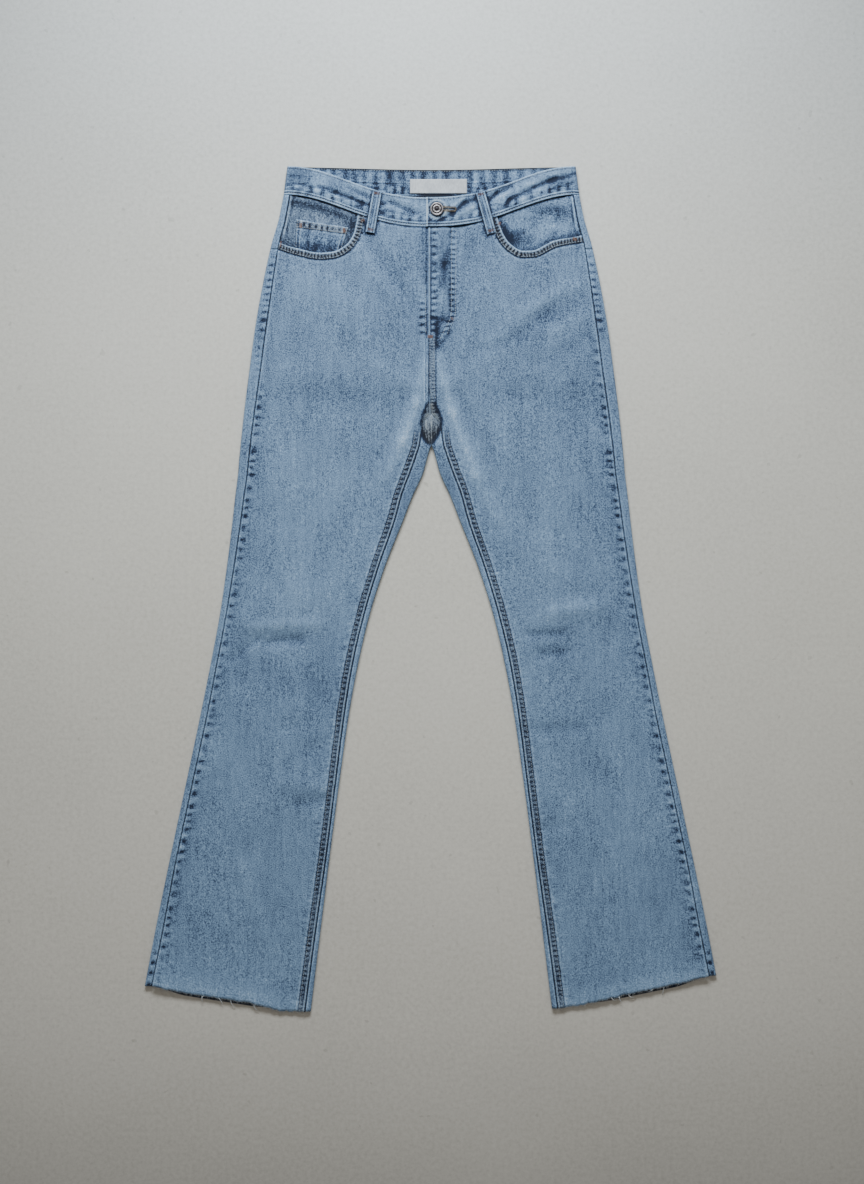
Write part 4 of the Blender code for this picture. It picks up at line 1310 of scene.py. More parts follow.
def build_back(side):
    side_down, edge_down, seam_down, turn, leg, hem_fall = back_rows(side)
    across_wrap, down_wrap, height_wrap, wrap_detail = outer_wrap(side, side_down)
    reach = FOLD_REACH + CLOTH / 2
    inner_base = np.where(leg, inner_edge(edge_down) + reach * np.cos(turn), HALF_GAP)
    inner_base = np.maximum(inner_base, HALF_GAP)
    base_down = np.where(leg, edge_down - reach * np.sin(turn), edge_down)
    shares = np.linspace(1, 0, BOTTOM_COLUMNS + 2)[1:]
    outer_base = outer_edge(side_down) - reach
    bottom = lerp(inner_base[:, None], outer_base[:, None], shares)
    bottom_down = lerp(base_down[:, None], side_down[:, None], shares)
    show = smooth(shares, 0.1, 0.35) * fade(shares, 0.75, 0.95)
    bottom_down = bottom_down + BACK_HEM_SHOW * show * smooth(hem_fall, 0.8, 1.0)[:, None]
    bottom_height = under_height(bottom_down)
    bottom_detail = under_detail(bottom, bottom_down)
    seam = np.maximum(inseam_across(seam_down) - HALF_GAP, HALF_GAP)
    along = np.linspace(0, 1, INNER_STRIP_COLUMNS + 1)
    strip = lerp(inner_base[:, None], seam[:, None], along)
    strip_down = lerp(base_down[:, None], seam_down[:, None], along)
    strip_detail = inner_strip_detail(side, strip, strip_down)
    top = top_height(side * strip, strip_down) + strip_detail.height
    top = top + crotch_pit(strip, strip_down)
    inward, arc_height = arc(top[:, 0], under_height(edge_down), reach, ARC_COLUMNS)
    inward = inward[::-1]
    arc_height = arc_height[:, ::-1]
    arc_across = inner_edge(edge_down)[:, None] + inward * np.cos(turn)[:, None]
    arc_across = np.maximum(arc_across, HALF_GAP)
    arc_down = edge_down[:, None] - inward * np.sin(turn)[:, None]
    across = np.concatenate([across_wrap, bottom, arc_across, strip], axis=1)
    down = np.concatenate([down_wrap, bottom_down, arc_down, strip_down], axis=1)
    height = np.concatenate([height_wrap, bottom_height, arc_height, top], axis=1)
    parts = [
        (wrap_detail, STRIP_COLUMNS + 1),
        (None, ARC_COLUMNS),
        (bottom_detail, bottom.shape[1]),
        (None, ARC_COLUMNS),
        (strip_detail, strip.shape[1]),
    ]
    detail = padded_detail(parts, across.shape)
    back_panel_wear_and_shade(detail, side, across, down, height)
    first_inner = across_wrap.shape[1] + bottom.shape[1]
    keep = np.ones((across.shape[0] - 1, across.shape[1] - 1), dtype=bool)
    keep[: int((~leg).sum()), first_inner - 1:] = False
    place = (side * across, down, height)
    dress(sided("back", side), place, detail, CLOTH, denim["main"], keep=keep)


def back_panel_wear_and_shade(detail, side, across, down, height):
    """Worn seams and dents of the parts that face down, and painted shadow on the back hem where it
    shows below the front hem.
    """
    facing_down = height < under_height(down) + 0.6
    yoke_seam = down - yoke_low(across)
    detail.tone += facing_down * -0.6 * bell(yoke_seam - 0.3, 1.0)
    detail.tone += facing_down * 0.35 * bell(yoke_seam - 2.2, 1.2)
    centre = across - HALF_GAP
    upper = fade(down, 340, 356)
    detail.tone += facing_down * upper * (-0.6 * bell(centre - 0.4, 1.0) + 0.3 * bell(centre - 2.4, 1.2))
    hem = hem_gap(side, across, down)
    detail.tone += facing_down * 0.16 * fade(hem, 6.0, 26.0)
    # painted shadow of the front hem on the back hem below it
    detail.tone += facing_down * -1.1 * fade(hem, -1.5, 2.0)


def yoke_low(across):
    """Seam between the yoke and the back panel."""
    half = outer_edge(YOKE_SIDE) - FOLD_REACH - CLOTH / 2
    return lerp(YOKE_CENTRE, YOKE_SIDE, np.clip(across / half, 0.0, 1.0))


def build_yoke(side):
    side_down = np.linspace(BAND_LOW_SIDE + HALF_GAP, YOKE_SIDE - HALF_GAP, 28)
    across_wrap, down_wrap, height_wrap, wrap_detail = outer_wrap(side, side_down)
    shares = np.linspace(1, 0, BOTTOM_COLUMNS + 2)[1:]
    outer_base = outer_edge(side_down) - FOLD_REACH - CLOTH / 2
    bottom = lerp(HALF_GAP, outer_base[:, None], shares)
    fall = ((side_down - BAND_LOW_SIDE) / (YOKE_SIDE - BAND_LOW_SIDE))[:, None]
    upper = band_low_back(bottom) - BAND_LOW_SIDE
    lower = (YOKE_CENTRE - YOKE_SIDE) * (1.0 - shares)
    bottom_down = side_down[:, None] + lerp(upper, lower, fall)
    detail = under_detail(bottom, bottom_down)
    seam_gap = yoke_low(bottom) - bottom_down
    detail.line(seam_gap - 1.6, 1.4, tone=0.35)
    detail.line(bottom - 2.0, 1.4, tone=0.25)
    band_gap = bottom_down - band_low_back(bottom)
    detail.line(band_gap - 0.5, 1.2, tone=-0.6)
    across = np.concatenate([across_wrap, bottom], axis=1)
    down = np.concatenate([down_wrap, bottom_down], axis=1)
    height = np.concatenate([height_wrap, np.full(bottom.shape, HIP_LIFT)], axis=1)
    parts = [
        (wrap_detail, STRIP_COLUMNS + 1),
        (None, ARC_COLUMNS),
        (detail, bottom.shape[1]),
    ]
    detail = padded_detail(parts, across.shape)
    dress(sided("yoke", side), (side * across, down, height), detail, CLOTH, denim["main"])


def facing_place(side, share, fall):
    """Across, down and height of a pocket facing's outer face."""
    path = pocket_paths[side]
    first, last = path.points[0], path.points[-1]
    start = first[0] - FACING_START
    end = side_seam_point(BAND_LOW_SIDE) - HALF_GAP
    upper_across = lerp(start, end, share)
    upper_down = band_low_front(upper_across) + HALF_GAP
    place = lerp(1 / (len(POCKET) - 1), 1.0, share) * (len(path.points) - 1)
    numbers = np.arange(len(path.points))
    low_across = np.interp(place, numbers, path.points[:, 0])
    low_down = np.interp(place, numbers, path.points[:, 1])
    low_across = low_across - FACING_TUCK * fade(share, 0.1, 0.45)
    low_down = low_down + FACING_TUCK * smooth(share, 0.0, 0.45)
    across = lerp(upper_across, low_across, fall)
    down = lerp(upper_down, low_down, fall)
    drop = lerp(POCKET_DROP, COIN_DROP, smooth(fall, 0.0, 0.3))
    side_drop = np.interp(fall, [0.0, 0.36, 0.66, 1.0], [0.0, 0.0, POCKET_DROP, COIN_DROP])
    near_side = np.clip((share - 0.875) / 0.125, 0.0, 1.0)
    across = lerp(across, side_seam_point(down) - HALF_GAP, near_side**3)
    drop = lerp(drop, side_drop, near_side)
    return across, down, top_height(side * across, down) - drop


def facing_detail(side, across, down):
    detail = Detail(across.shape)
    opening, _ = pocket_paths[side].nearest(across, down)
    waist = down - band_low_front(side * across)
    detail.height += 0.35 * wrinkle_noise(across / 17.0, down / 11.0 + 5.0)
    # the waist lines hold painted shade under the waistband's edge
    detail.lines(waist, "facing_waist")
    detail.lines(side_offset(across, down), "facing_side")
    # painted shade where the facing runs under the edge of the pocket opening
    detail.tone += -0.42 * bell(opening, 7.0)
    if side > 0:
        # painted shadow inside the gaping pocket opening
        hollow = np.hypot((across - 101) / 2.6, down - 94 + 0.16 * (across - 101))
        detail.tone += -0.62 * bell(hollow, 8.0)
        hollow = np.hypot((across - 94) / 1.6, down - 84 - 0.5 * (across - 94))
        detail.tone += -0.35 * bell(hollow, 6.0)
        detail.tone += -0.35 * bell(np.hypot((across - 160) / 2.2, down - 60), 7.0)
        detail.tone += 0.12 * bell(np.hypot((across - 140) / 2.0, down - 78), 12.0)
        detail.tone += 0.16 * wrinkle_noise(across / 14.0 + down / 30.0, down / 7.0 + 2.0)
        detail.height -= 0.5 * bell(np.hypot(across - 104, down - 92), 11.0)
    else:
        detail.tone += -0.45 * bell(waist - 9.0, 5.0) * smooth(across, 95, 120)
        detail.tone += -0.35 * bell(np.hypot(across - 103, down - 78), 8.0) - 0.04
        detail.warm += 0.22
    return detail


def build_facing(side):
    share, fall = np.meshgrid(np.linspace(0, 1, 70), np.linspace(0, 1, 34))
    across, down, height = facing_place(side, share, fall)
    detail = facing_detail(side, across, down)
    height = height + np.minimum(detail.height, 0.25)
    place = (side * across, down, height)
    dress(sided("pocket_facing", side), place, detail, CLOTH, denim["facing"])


def coin_place(share, fall):
    """Point of the coin pocket, from its outer top corner."""
    first, second, third, fourth = COIN_CORNERS
    across = lerp(lerp(first[0], second[0], share), lerp(fourth[0], third[0], share), fall)
    down = lerp(lerp(first[1], second[1], share), lerp(fourth[1], third[1], share), fall)
    height = top_height(-across, down) - COIN_DROP + SEAM_GAP + PATCH
    return -across, down, height


def coin_size():
    """Width and height of the coin pocket."""
    first, second, third, _ = COIN_CORNERS
    return math.dist(first, second), math.dist(second, third)


def build_coin_pocket():
    share, fall = np.meshgrid(np.linspace(0, 1, 56), np.linspace(0, 1, 34))
    across, down, height = coin_place(share, fall)
    detail = Detail(across.shape)
    wide, tall = coin_size()
    below_top = fall * tall
    from_left = share * wide
    detail.step(below_top, 7.6, 9.4, height=0.5, tone=0.10)
    detail.lines(below_top, "coin_top")
    detail.puckers(below_top, from_left, "coin_top")
    detail.warm += 0.45 * bell(below_top - 4.8, 3.4)
    for edge in (from_left, (1 - share) * wide):
        detail.lines(edge, "coin_side")
    detail.tone += -0.12 + 0.15 * wrinkle_noise(from_left / 6.0, below_top / 12.0)
    detail.tone += -0.35 * smooth(below_top, 18.0, 30.0)
    place = (across, down, height + detail.height * 0.6)
    dress("coin_pocket", place, detail, PATCH, denim["facing"])


BAND_ROWS_DOWN = [0, 0.5, 1.2, 2.0, 2.8, 3.6, 4.4, 5.3, 6.3]
FRONT_BAND_COLUMNS = 118
BACK_BAND_COLUMNS = 130
UNDERLAP_COLUMNS = 10


def band_falls():
    """Shares of the way down the waistband, fine at both edges."""
    tall = BAND_LOW_SIDE - BAND_TOP_SIDE
    near = np.array(BAND_ROWS_DOWN) / tall
    middle = np.linspace(near[-1], 1 - near[-1], 18)[1:-1]
    return np.concatenate([near, middle, 1 - near[::-1]])


def band_front_point(start, fall):
    """Across and down on the front of the waistband."""
    share = start / BAND_HALF_TOP
    top = BAND_TOP_SIDE + BAND_TOP_DIP * dip(share)
    low = BAND_LOW_SIDE + BAND_LOW_DIP * dip(share) - HALF_GAP
    down = lerp(top, low, fall)
    wide = lerp(BAND_HALF_TOP, BAND_HALF_LOW, fall) / BAND_HALF_TOP
    reach = FOLD_REACH + BAND / 2
    return start * wide * (1.0 - reach / BAND_HALF_LOW), down


def band_seams(detail, across, fall, tall, spacing):
    """Pressed edges and topstitching along a waistband."""
    from_low = (1 - fall) * tall
    detail.lines(fall * tall, "band_top")
    detail.lines(from_low, "band_low")
    detail.puckers(from_low, across, "band_low", spacing=spacing)
    detail.streak += 0.8 * bell(from_low - 12.0, 8.0)


def loop_run(row):
    """How far across and down a belt loop runs, and its length."""
    run = row.low_across - row.top_across
    drop = row.low_down - row.top_down
    return run, drop, math.hypot(run, drop)


def loop_shadow(across, down):
    """Dark lines on the cloth along both sides and below the front loops."""
    tone = 0.0
    for row in FRONT_LOOPS:
        run, drop, length = loop_run(row)
        along = ((across - row.top_across) * run + (down - row.top_down) * drop) / length
        aside = ((across - row.top_across) * drop - (down - row.top_down) * run) / length
        beyond = np.maximum(along - length, 0.0) + np.maximum(-along, 0.0) * 3.0
        gap = np.hypot(np.maximum(np.abs(aside) - LOOP_WIDTH / 2, 0.0), beyond)
        tone = tone - 0.75 * bell(gap, 2.6)
    return tone


def front_band_detail(across, down, fall):
    detail = Detail(across.shape)
    band_seams(detail, across, fall, 38.0, 12.5)
    detail.tone += loop_shadow(across, down)
    detail.creases(across, down, BAND_CREASES, height=0.0)
    detail.creases(across, down, BAND_FINE_CREASES, height=0.0, tone=0.78)
    ring = np.hypot(across - BUTTON_ACROSS, down - BUTTON_DOWN)
    # the dark button ring is painted shadow of the button on the band
    detail.lines(ring, "button_ring")
    detail.warm += 0.3 * bell(ring - 10.5, 2.0)
    purl = np.hypot((across - 19.0) / 13.0, (down - BUTTON_DOWN) / 4.2)
    detail.warm += 0.8 * fade(purl, 0.7, 1.1)
    detail.tone += -0.52 * fade(purl, 0.7, 1.1)
    detail.tone += spot_sum(across, down, "tone")
    detail.tone += 0.16 * wrinkle_noise(across / 13.0, down / 9.0) + 0.05
    detail.height += 0.18 * wrinkle_noise(across / 11.0 + 3.0, down / 8.0)
    return detail


def back_band_detail(across, down, fall):
    detail = Detail(across.shape)
    band_seams(detail, across, fall, 37.0, 12.0)
    stripes = np.cos(2 * math.pi * (across / 15.0 + 0.3 * wobble_noise(across / 40.0)))
    detail.tone += 0.22 * stripes * bell(fall - 0.3, 0.4)
    # painted shade, dark brown, along the back band's top edge
    detail.lines(fall, "back_band")
    detail.warm += 0.6 * bell(fall, 0.04)
    detail.tone += 0.22 * wrinkle_noise(across / 8.0, down / 12.0) - 0.16
    # painted shadow, dark brown, in the gap below the label
    hollow = bell((across - 6.0) / 24.0, 1.0) * smooth(down, 35.0, 38.0)
    detail.tone += -1.6 * hollow
    detail.warm += 0.7 * hollow
    return detail


def back_band_down(across, fall):
    """Distance down on the back of the waistband."""
    top = BAND_TOP_SIDE + BACK_TOP_DIP * back_dip(across)
    return lerp(top, band_low_back(across) - HALF_GAP, fall)


def fold_columns(side, fall, count):
    """Side fold of the waistband, from the front to the back."""
    half = lerp(BAND_HALF_TOP, BAND_HALF_LOW, fall)
    reach = FOLD_REACH + BAND / 2
    down = lerp(BAND_TOP_SIDE, BAND_LOW_SIDE - HALF_GAP, fall)
    inward, height = arc(band_height(side * (half - reach), down), HIP_LIFT, reach, count)
    across = half[:, None] - inward
    return side * across, np.broadcast_to(down[:, None], across.shape), height


def build_waistband():
    fall = band_falls()
    overlap = np.linspace(OVERLAP_END, BAND_HALF_TOP, FRONT_BAND_COLUMNS)
    across_l, down_l = band_front_point(overlap[None, :], fall[:, None])
    fall_l = np.broadcast_to(fall[:, None], across_l.shape)
    detail_l = front_band_detail(across_l, down_l, fall_l)
    detail_l.lines(across_l - OVERLAP_END, "overlap_edge")
    height_l = band_height(across_l, down_l) + overlap_lift(across_l) + detail_l.height
    left_fold = fold_columns(1, fall, ARC_COLUMNS)
    half = lerp(BAND_HALF_TOP, BAND_HALF_LOW, fall)[:, None] - FOLD_REACH - BAND / 2
    across_b = half * np.linspace(1, -1, BACK_BAND_COLUMNS)
    fall_b = np.broadcast_to(fall[:, None], across_b.shape)
    down_b = back_band_down(across_b, fall_b)
    detail_b = back_band_detail(across_b, down_b, fall_b)
    height_b = HIP_LIFT - np.minimum(detail_b.height, 0.0)
    right_fold = [part[:, ::-1] for part in fold_columns(-1, fall, ARC_COLUMNS)]
    starts = np.linspace(-BAND_HALF_TOP, 0.0, FRONT_BAND_COLUMNS - 6)
    under = np.linspace(0.0, UNDERLAP_END, UNDERLAP_COLUMNS + 1)[1:]
    starts = np.concatenate([starts, under])
    across_r, down_r = band_front_point(starts[None, :], fall[:, None])
    fall_r = np.broadcast_to(fall[:, None], across_r.shape)
    detail_r = front_band_detail(across_r, down_r, fall_r)
    free = fade(across_r, OVERLAP_END - 6.0, OVERLAP_END)
    formed = band_height(across_r, down_r) + detail_r.height
    height_r = lerp(np.minimum(formed, band_flat(down_r) - 0.2), formed, free)
    blocks = [
        (across_l, down_l, height_l, detail_l),
        (*left_fold, None),
        (across_b, down_b, height_b, detail_b),
        (*right_fold, None),
        (across_r, down_r, height_r, detail_r),
    ]
    across, down, height = (
        np.concatenate([block[index] for block in blocks], axis=1) for index in range(3)
    )
    parts = [(block[3], block[0].shape[1]) for block in blocks]
    detail = padded_detail(parts, across.shape)
    for start in (overlap.size, overlap.size + ARC_COLUMNS + BACK_BAND_COLUMNS):
        span = slice(start, start + ARC_COLUMNS)
        before = detail.tone[:, start - 1:start]
        after = detail.tone[:, start + ARC_COLUMNS:start + ARC_COLUMNS + 1]
        detail.tone[:, span] = lerp(before, after, np.linspace(0, 1, ARC_COLUMNS))
    band = cloth_piece("cloth_waistband", (across, down, height), detail, BAND, denim["band"])
    cut_keyhole(band)
    finish_piece(band, "waistband")


def overlap_top():
    """Height of the flat top of the waistband's overlap."""
    return float(band_flat(0) + OVERLAP_LIFT)


def cut_keyhole(band):
    """Cut the round eye and the slit through the overlap only."""
    low = overlap_top() - BAND - HALF_GAP - 0.4
    tall = BAND + 3.4
    middle = low + tall / 2
    sides = 24
    half = SLIT_WIDTH / 2
    opening = math.asin(half / EYE_RADIUS)
    angles = np.linspace(opening, 2 * math.pi - opening, sides)
    across = list(BUTTON_ACROSS + EYE_RADIUS * np.cos(angles)) + [SLIT_END, SLIT_END]
    down = list(BUTTON_DOWN - EYE_RADIUS * np.sin(angles)) + [BUTTON_DOWN + half, BUTTON_DOWN - half]
    builder = bmesh.new()
    ring = to_world(np.array(across), np.array(down), low)
    verts = [builder.verts.new(point) for point in ring]
    face = builder.faces.new(verts)
    raised = bmesh.ops.extrude_face_region(builder, geom=[face])
    for item in raised["geom"]:
        if isinstance(item, bmesh.types.BMVert):
            item.co.z += tall * MM
    bmesh.ops.recalc_face_normals(builder, faces=builder.faces)
    mesh = bpy.data.meshes.new("keyhole_cutter")
    builder.to_mesh(mesh)
    builder.free()
    cutter = bpy.data.objects.new("keyhole_cutter", mesh)
    jeans.objects.link(cutter)
    cut = band.modifiers.new("keyhole", "BOOLEAN")
    cut.operation = "DIFFERENCE"
    cut.solver = "EXACT"
    cut.object = cutter
    bpy.context.view_layer.update()
    apply_modifiers(band)
    bpy.data.objects.remove(cutter)


def loop_place(row, slide, fall):
    """Across, down and height on a belt loop's outer face."""
    run, drop, length = loop_run(row)
    across = row.top_across + run * fall + slide * drop / length
    down = row.top_down + drop * fall - slide * run / length
    if not row.front:
        return across, down, np.zeros(across.shape)
    body = top_height(across, down)
    on_band = band_height(across, down) + overlap_lift(across)
    share = fade(down - band_low_front(across), 0.0, LOOP_ON_BAND)
    height = np.maximum(body, lerp(body, on_band, share))
    puff = LOOP_PUFF * np.sin(math.pi * np.clip(fall, 0, 1))
    return across, down, height + SEAM_GAP + CLOTH + puff


def loop_detail(row, slide, fall):
    detail = Detail(slide.shape)
    detail.lines(LOOP_WIDTH / 2 - np.abs(slide), "loop_edge")
    detail.lines(slide, "loop_middle")
    for end in LOOP_TACKS:
        detail.line((fall - end) * LOOP_LONG, 1.9, height=-0.5, tone=-0.35)
    detail.line((fall - 0.5) * LOOP_LONG, 6.0, tone=-0.12)
    detail.tone += 0.12 * wrinkle_noise(slide / 3.0 + row.top_across, fall * 6.0)
    return detail


def build_belt_loop(row):
    half = LOOP_WIDTH / 2
    slide, fall = np.meshgrid(np.linspace(-half, half, 14), np.linspace(0, 1, 46))
    detail = loop_detail(row, slide, fall)
    across, down, height = loop_place(row, slide, fall)
    if row.front:
        height = height + detail.height
    else:
        height = np.maximum(height - detail.height, 0.0)
    dress(row.name, (across, down, height), detail, CLOTH, denim["band"], row.front)


def back_pocket_place(side, share, fall):
    half = lerp(BACK_POCKET_TOP, BACK_POCKET_LOW, fall) / 2
    tall = BACK_POCKET_TALL + BACK_POCKET_POINT * (1 - np.abs(share))
    along = fall * tall
    across = BACK_POCKET_ACROSS + share * half + along * BACK_POCKET_TILT
    down = BACK_POCKET_DOWN + along - share * half * BACK_POCKET_TILT
    return side * across, down


def build_back_pocket(side):
    share, fall = np.meshgrid(np.linspace(-1, 1, 61), np.linspace(0, 1, 61))
    across, down = back_pocket_place(side, share, fall)
    detail = Detail(across.shape)
    half = lerp(BACK_POCKET_TOP, BACK_POCKET_LOW, fall) / 2
    edge = np.minimum(half * (1 - np.abs(share)), (1 - fall) * BACK_POCKET_TALL)
    top = fall * BACK_POCKET_TALL
    detail.lines(edge, "back_pocket_edge")
    detail.lines(top, "back_pocket_top")
    detail.puckers(top, share * 60.0, "back_pocket_top")
    detail.tone += 0.10 * wave_noise(across / 22.0, down / 26.0)
    place = (across, down, np.clip(-detail.height, 0.0, 0.5))
    dress(sided("back_pocket", side), place, detail, CLOTH, denim["main"], False)


def build_label():
    across, down = np.meshgrid(
        np.linspace(LABEL_LEFT, LABEL_RIGHT, 60), np.linspace(LABEL_TOP, LABEL_LOW, 18)
    )
    detail = Detail(across.shape)
    height = HIP_LIFT + BAND + SEAM_GAP + LABEL + 0.15 * wrinkle_noise(across / 9.0, down / 8.0)
    edge = np.minimum(across - LABEL_LEFT, LABEL_RIGHT - across)
    height = height + 0.35 * bell(edge - 2.0, 1.6) - 0.25 * bell(edge, 0.8)
    detail.tone += 0.2 * wrinkle_noise(across / 12.0, down / 6.0)
    dress("label", (across, down, height), detail, LABEL, woven)


class Stitches:
    """Many small stitches that are joined in one mesh."""

    LONG = 2.5
    THICK = 0.62
    PROUD = 0.12

    def __init__(self, thick=1.0):
        self.spots = []
        self.size = thick

    def row(self, across, down, height, length=None, upward=True):
        """One stitch at each point, turned along the line of points."""
        across, down, height = np.broadcast_arrays(across, down, height)
        along = np.stack([np.gradient(across), np.gradient(down), np.gradient(height)], -1)
        along /= np.linalg.norm(along, axis=1)[:, None]
        self.each(across, down, height, along, length, upward)

    def each(self, across, down, height, along, length=None, upward=True):
        long = (length or self.LONG) / 2
        thick = self.THICK * self.size / 2
        sign = 1.0 if upward else -1.0
        centre = np.stack([across, down, height + sign * self.PROUD], -1)
        up = np.zeros_like(along)
        up[:, 2] = 1.0
        aside = np.cross(along, up)
        aside /= np.linalg.norm(aside, axis=1)[:, None]
        ring = [(0, 1), (1, 0.1), (0, -1), (-1, 0.1)]
        points = [centre - along * long - up * thick * 0.9 * sign]
        for place in (-0.55, 0.55):
            for side, rise in ring:
                point = centre + along * long * place
                point = point + aside * thick * side + up * thick * rise
                points.append(point)
        points.append(centre + along * long - up * thick * 0.9 * sign)
        self.spots.append(np.stack(points, axis=1))

    def front_row(self, side, distance, down):
        """A row on a front panel, by its distance from the centre."""
        self.row(side * distance, down, front_point_height(side, distance, down))

    def build(self, name, material, slot_name):
        near = [(0, 1 + (k + 1) % 4, 1 + k) for k in range(4)]
        far = [(9, 5 + k, 5 + (k + 1) % 4) for k in range(4)]
        walls = [(1 + k, 1 + (k + 1) % 4, 5 + (k + 1) % 4, 5 + k) for k in range(4)]
        forms = np.concatenate(self.spots)
        return small_forms(name, forms, near + far + halved(walls), material)


STITCH_PITCH = 3.2


def stations(start, end, pitch=STITCH_PITCH):
    return np.arange(start + pitch / 2, end, pitch)


def front_point_height(side, distance, down):
    detail = front_detail(side, distance, down)
    return front_height(side, distance, down, detail)


def offset_line(path, run, offset):
    """Point beside a path, off it by that distance to its right."""
    across, down = path.at(run)
    ahead_across, ahead_down = path.at(run + 1.0)
    back_across, back_down = path.at(run - 1.0)
    tangent = np.stack([ahead_across - back_across, ahead_down - back_down], -1)
    tangent /= np.linalg.norm(tangent, axis=-1)[..., None]
    return across - tangent[..., 1] * offset, down + tangent[..., 0] * offset


def leg_stitches(side):
    """Two rows on the felled inseam, and rows at the fly or centre seam."""
    sewn = Stitches()
    down = stations(341.0, hem_down(0.05, side) - 4.0)
    slope = across_slope(inseam_across, down)
    for offset in (2.0, 8.0):
        sewn.front_row(side, inseam_across(down) + offset * np.hypot(1.0, slope), down)
    path = pocket_paths[side]
    run = stations(1.0, path.run[-1] - 3.0)
    for offset in (1.7, 7.4):
        sewn.front_row(side, *offset_line(path, run, offset))
    if side > 0:
        sewn.front_row(side, FLY_EDGE + 1.7, stations(84.0, 214.0))
        for offset in (-1.6, 3.8):
            down = stations(82.0, 221.0 - offset)
            sewn.front_row(side, j_stitch_across(down) + offset, down)
        down = stations(222.0, 300.0)
        for offset in (2.0, 7.2):
            sewn.front_row(side, front_inner(side, down) + offset, down)
    else:
        sewn.front_row(side, 3.4 - FLY_EDGE, stations(160.0, 214.0))
    name = sided("front", side)
    return sewn.build("stitches_" + name, thread_pale, "denim_" + name)


def band_stitches():
    sewn = Stitches(0.9)
    beside_edge = OVERLAP_END + 2.0
    for fall in (0.055, 0.925):
        for side in (1, -1):
            first = beside_edge if side > 0 else 8.0
            start = np.arange(first, BAND_HALF_TOP - 2.0, STITCH_PITCH)
            across, down = band_front_point(side * start, fall)
            detail = front_band_detail(across, down, np.full(across.shape, fall))
            height = band_height(across, down) + detail.height
            if side > 0:
                height = height + overlap_lift(across)
            sewn.row(across, down, height)
    edge_fall = np.linspace(0.09, 0.9, 11)
    across, down = band_front_point(np.full(edge_fall.shape, beside_edge), edge_fall)
    sewn.row(across, down, band_height(across, down) + overlap_lift(across) - 0.1)
    half = BAND_HALF_TOP - FOLD_REACH - BAND
    across = stations(-half, half)
    for fall in (0.06, 0.925):
        down = back_band_down(across, fall)
        sewn.row(across, down, HIP_LIFT + BAND - 0.1)
        sewn.row(across, down, HIP_LIFT + 0.1, upward=False)
    return sewn.build("stitches_waistband", thread_pale, "denim_waistband")


def loop_stitches():
    sewn = Stitches(0.8)
    fall = np.linspace(0.06, 0.94, 17)
    for row in LOOPS:
        for slide in (-3.6, 3.6):
            slides = np.full(fall.shape, slide)
            across, down, height = loop_place(row, slides, fall)
            if row.front:
                sewn.row(across, down, height + loop_detail(row, slides, fall).height)
            else:
                sewn.row(across, down, 0.35, upward=False)
    return sewn.build("stitches_belt_loops", thread_pale, "denim_loop_front_left")


def coin_stitches():
    sewn = Stitches(0.85)
    share = np.linspace(0.03, 0.97, 21)
    wide, tall = coin_size()
    for below in (1.4, 7.6):
        across, down, height = coin_place(share, below / tall)
        sewn.row(across, down, height + 0.25)
    fall = np.linspace(0.05, 0.9, 10)
    for inset in (1.5, 6.2):
        for place in (inset / wide, 1 - inset / wide):
            across, down, height = coin_place(place, fall)
            sewn.row(across, down, height + 0.05)
    return sewn.build("stitches_coin_pocket", thread_tan, "denim_coin_pocket")


def back_stitches(side):
    """Topstitching that lies against what the jeans rest on."""
    sewn = Stitches(0.9)
    fall = np.linspace(0.02, 0.98, 40)
    half = lerp(BACK_POCKET_TOP, BACK_POCKET_LOW, fall) / 2
    for inset in (2.2, 8.2):
        low = 1 - inset / BACK_POCKET_TALL
        for edge in (-1, 1):
            across, down = back_pocket_place(side, edge * (1 - inset / half), fall * low)
            sewn.row(across, down, POCKET_THREAD, upward=False)
        across, down = back_pocket_place(side, np.linspace(-0.95, 0.95, 36), low)
        sewn.row(across, down, POCKET_THREAD, upward=False)
    top = 12.0 / BACK_POCKET_TALL
    across, down = back_pocket_place(side, np.linspace(-0.97, 0.97, 38), top)
    sewn.row(across, down, POCKET_THREAD, upward=False)
    across = stations(3.0, 196.0)
    for offset in (-2.2, -8.4):
        sewn.row(side * across, yoke_low(across) + offset, HIP_LIFT + 0.1, upward=False)
    if side > 0:
        down = stations(60.0, 330.0)
        for offset in (2.2, 8.4):
            sewn.row(offset, down, under_height(down) + 0.1, upward=False)
    name = sided("back", side)
    return sewn.build("stitches_" + name, thread_pale, "denim_" + name)


# Bartacks: the middle of each, its width, its height and the side it is on
Tack = namedtuple("Tack", "across down wide tall turn where")
TACKS = [
    Tack(-192.0, 101.5, 2.6, 6.5, 0.12, "front"),
    Tack(-88.0, 71.0, 5.0, 2.4, -0.3, "front"),
    Tack(86.8, 75.5, 4.2, 3.4, 0.2, "front"),
    Tack(182.5, 95.0, 5.0, 3.4, 0.3, "front"),
    Tack(-1.6, 219.5, 7.0, 3.2, 0.1, "front"),
    Tack(26.0, 196.5, 3.0, 2.2, 0.5, "front"),
    Tack(-167.0, 77.0, 3.6, 5.4, 0.1, "coin"),
    Tack(-111.5, 83.5, 3.6, 5.0, -0.1, "coin"),
]


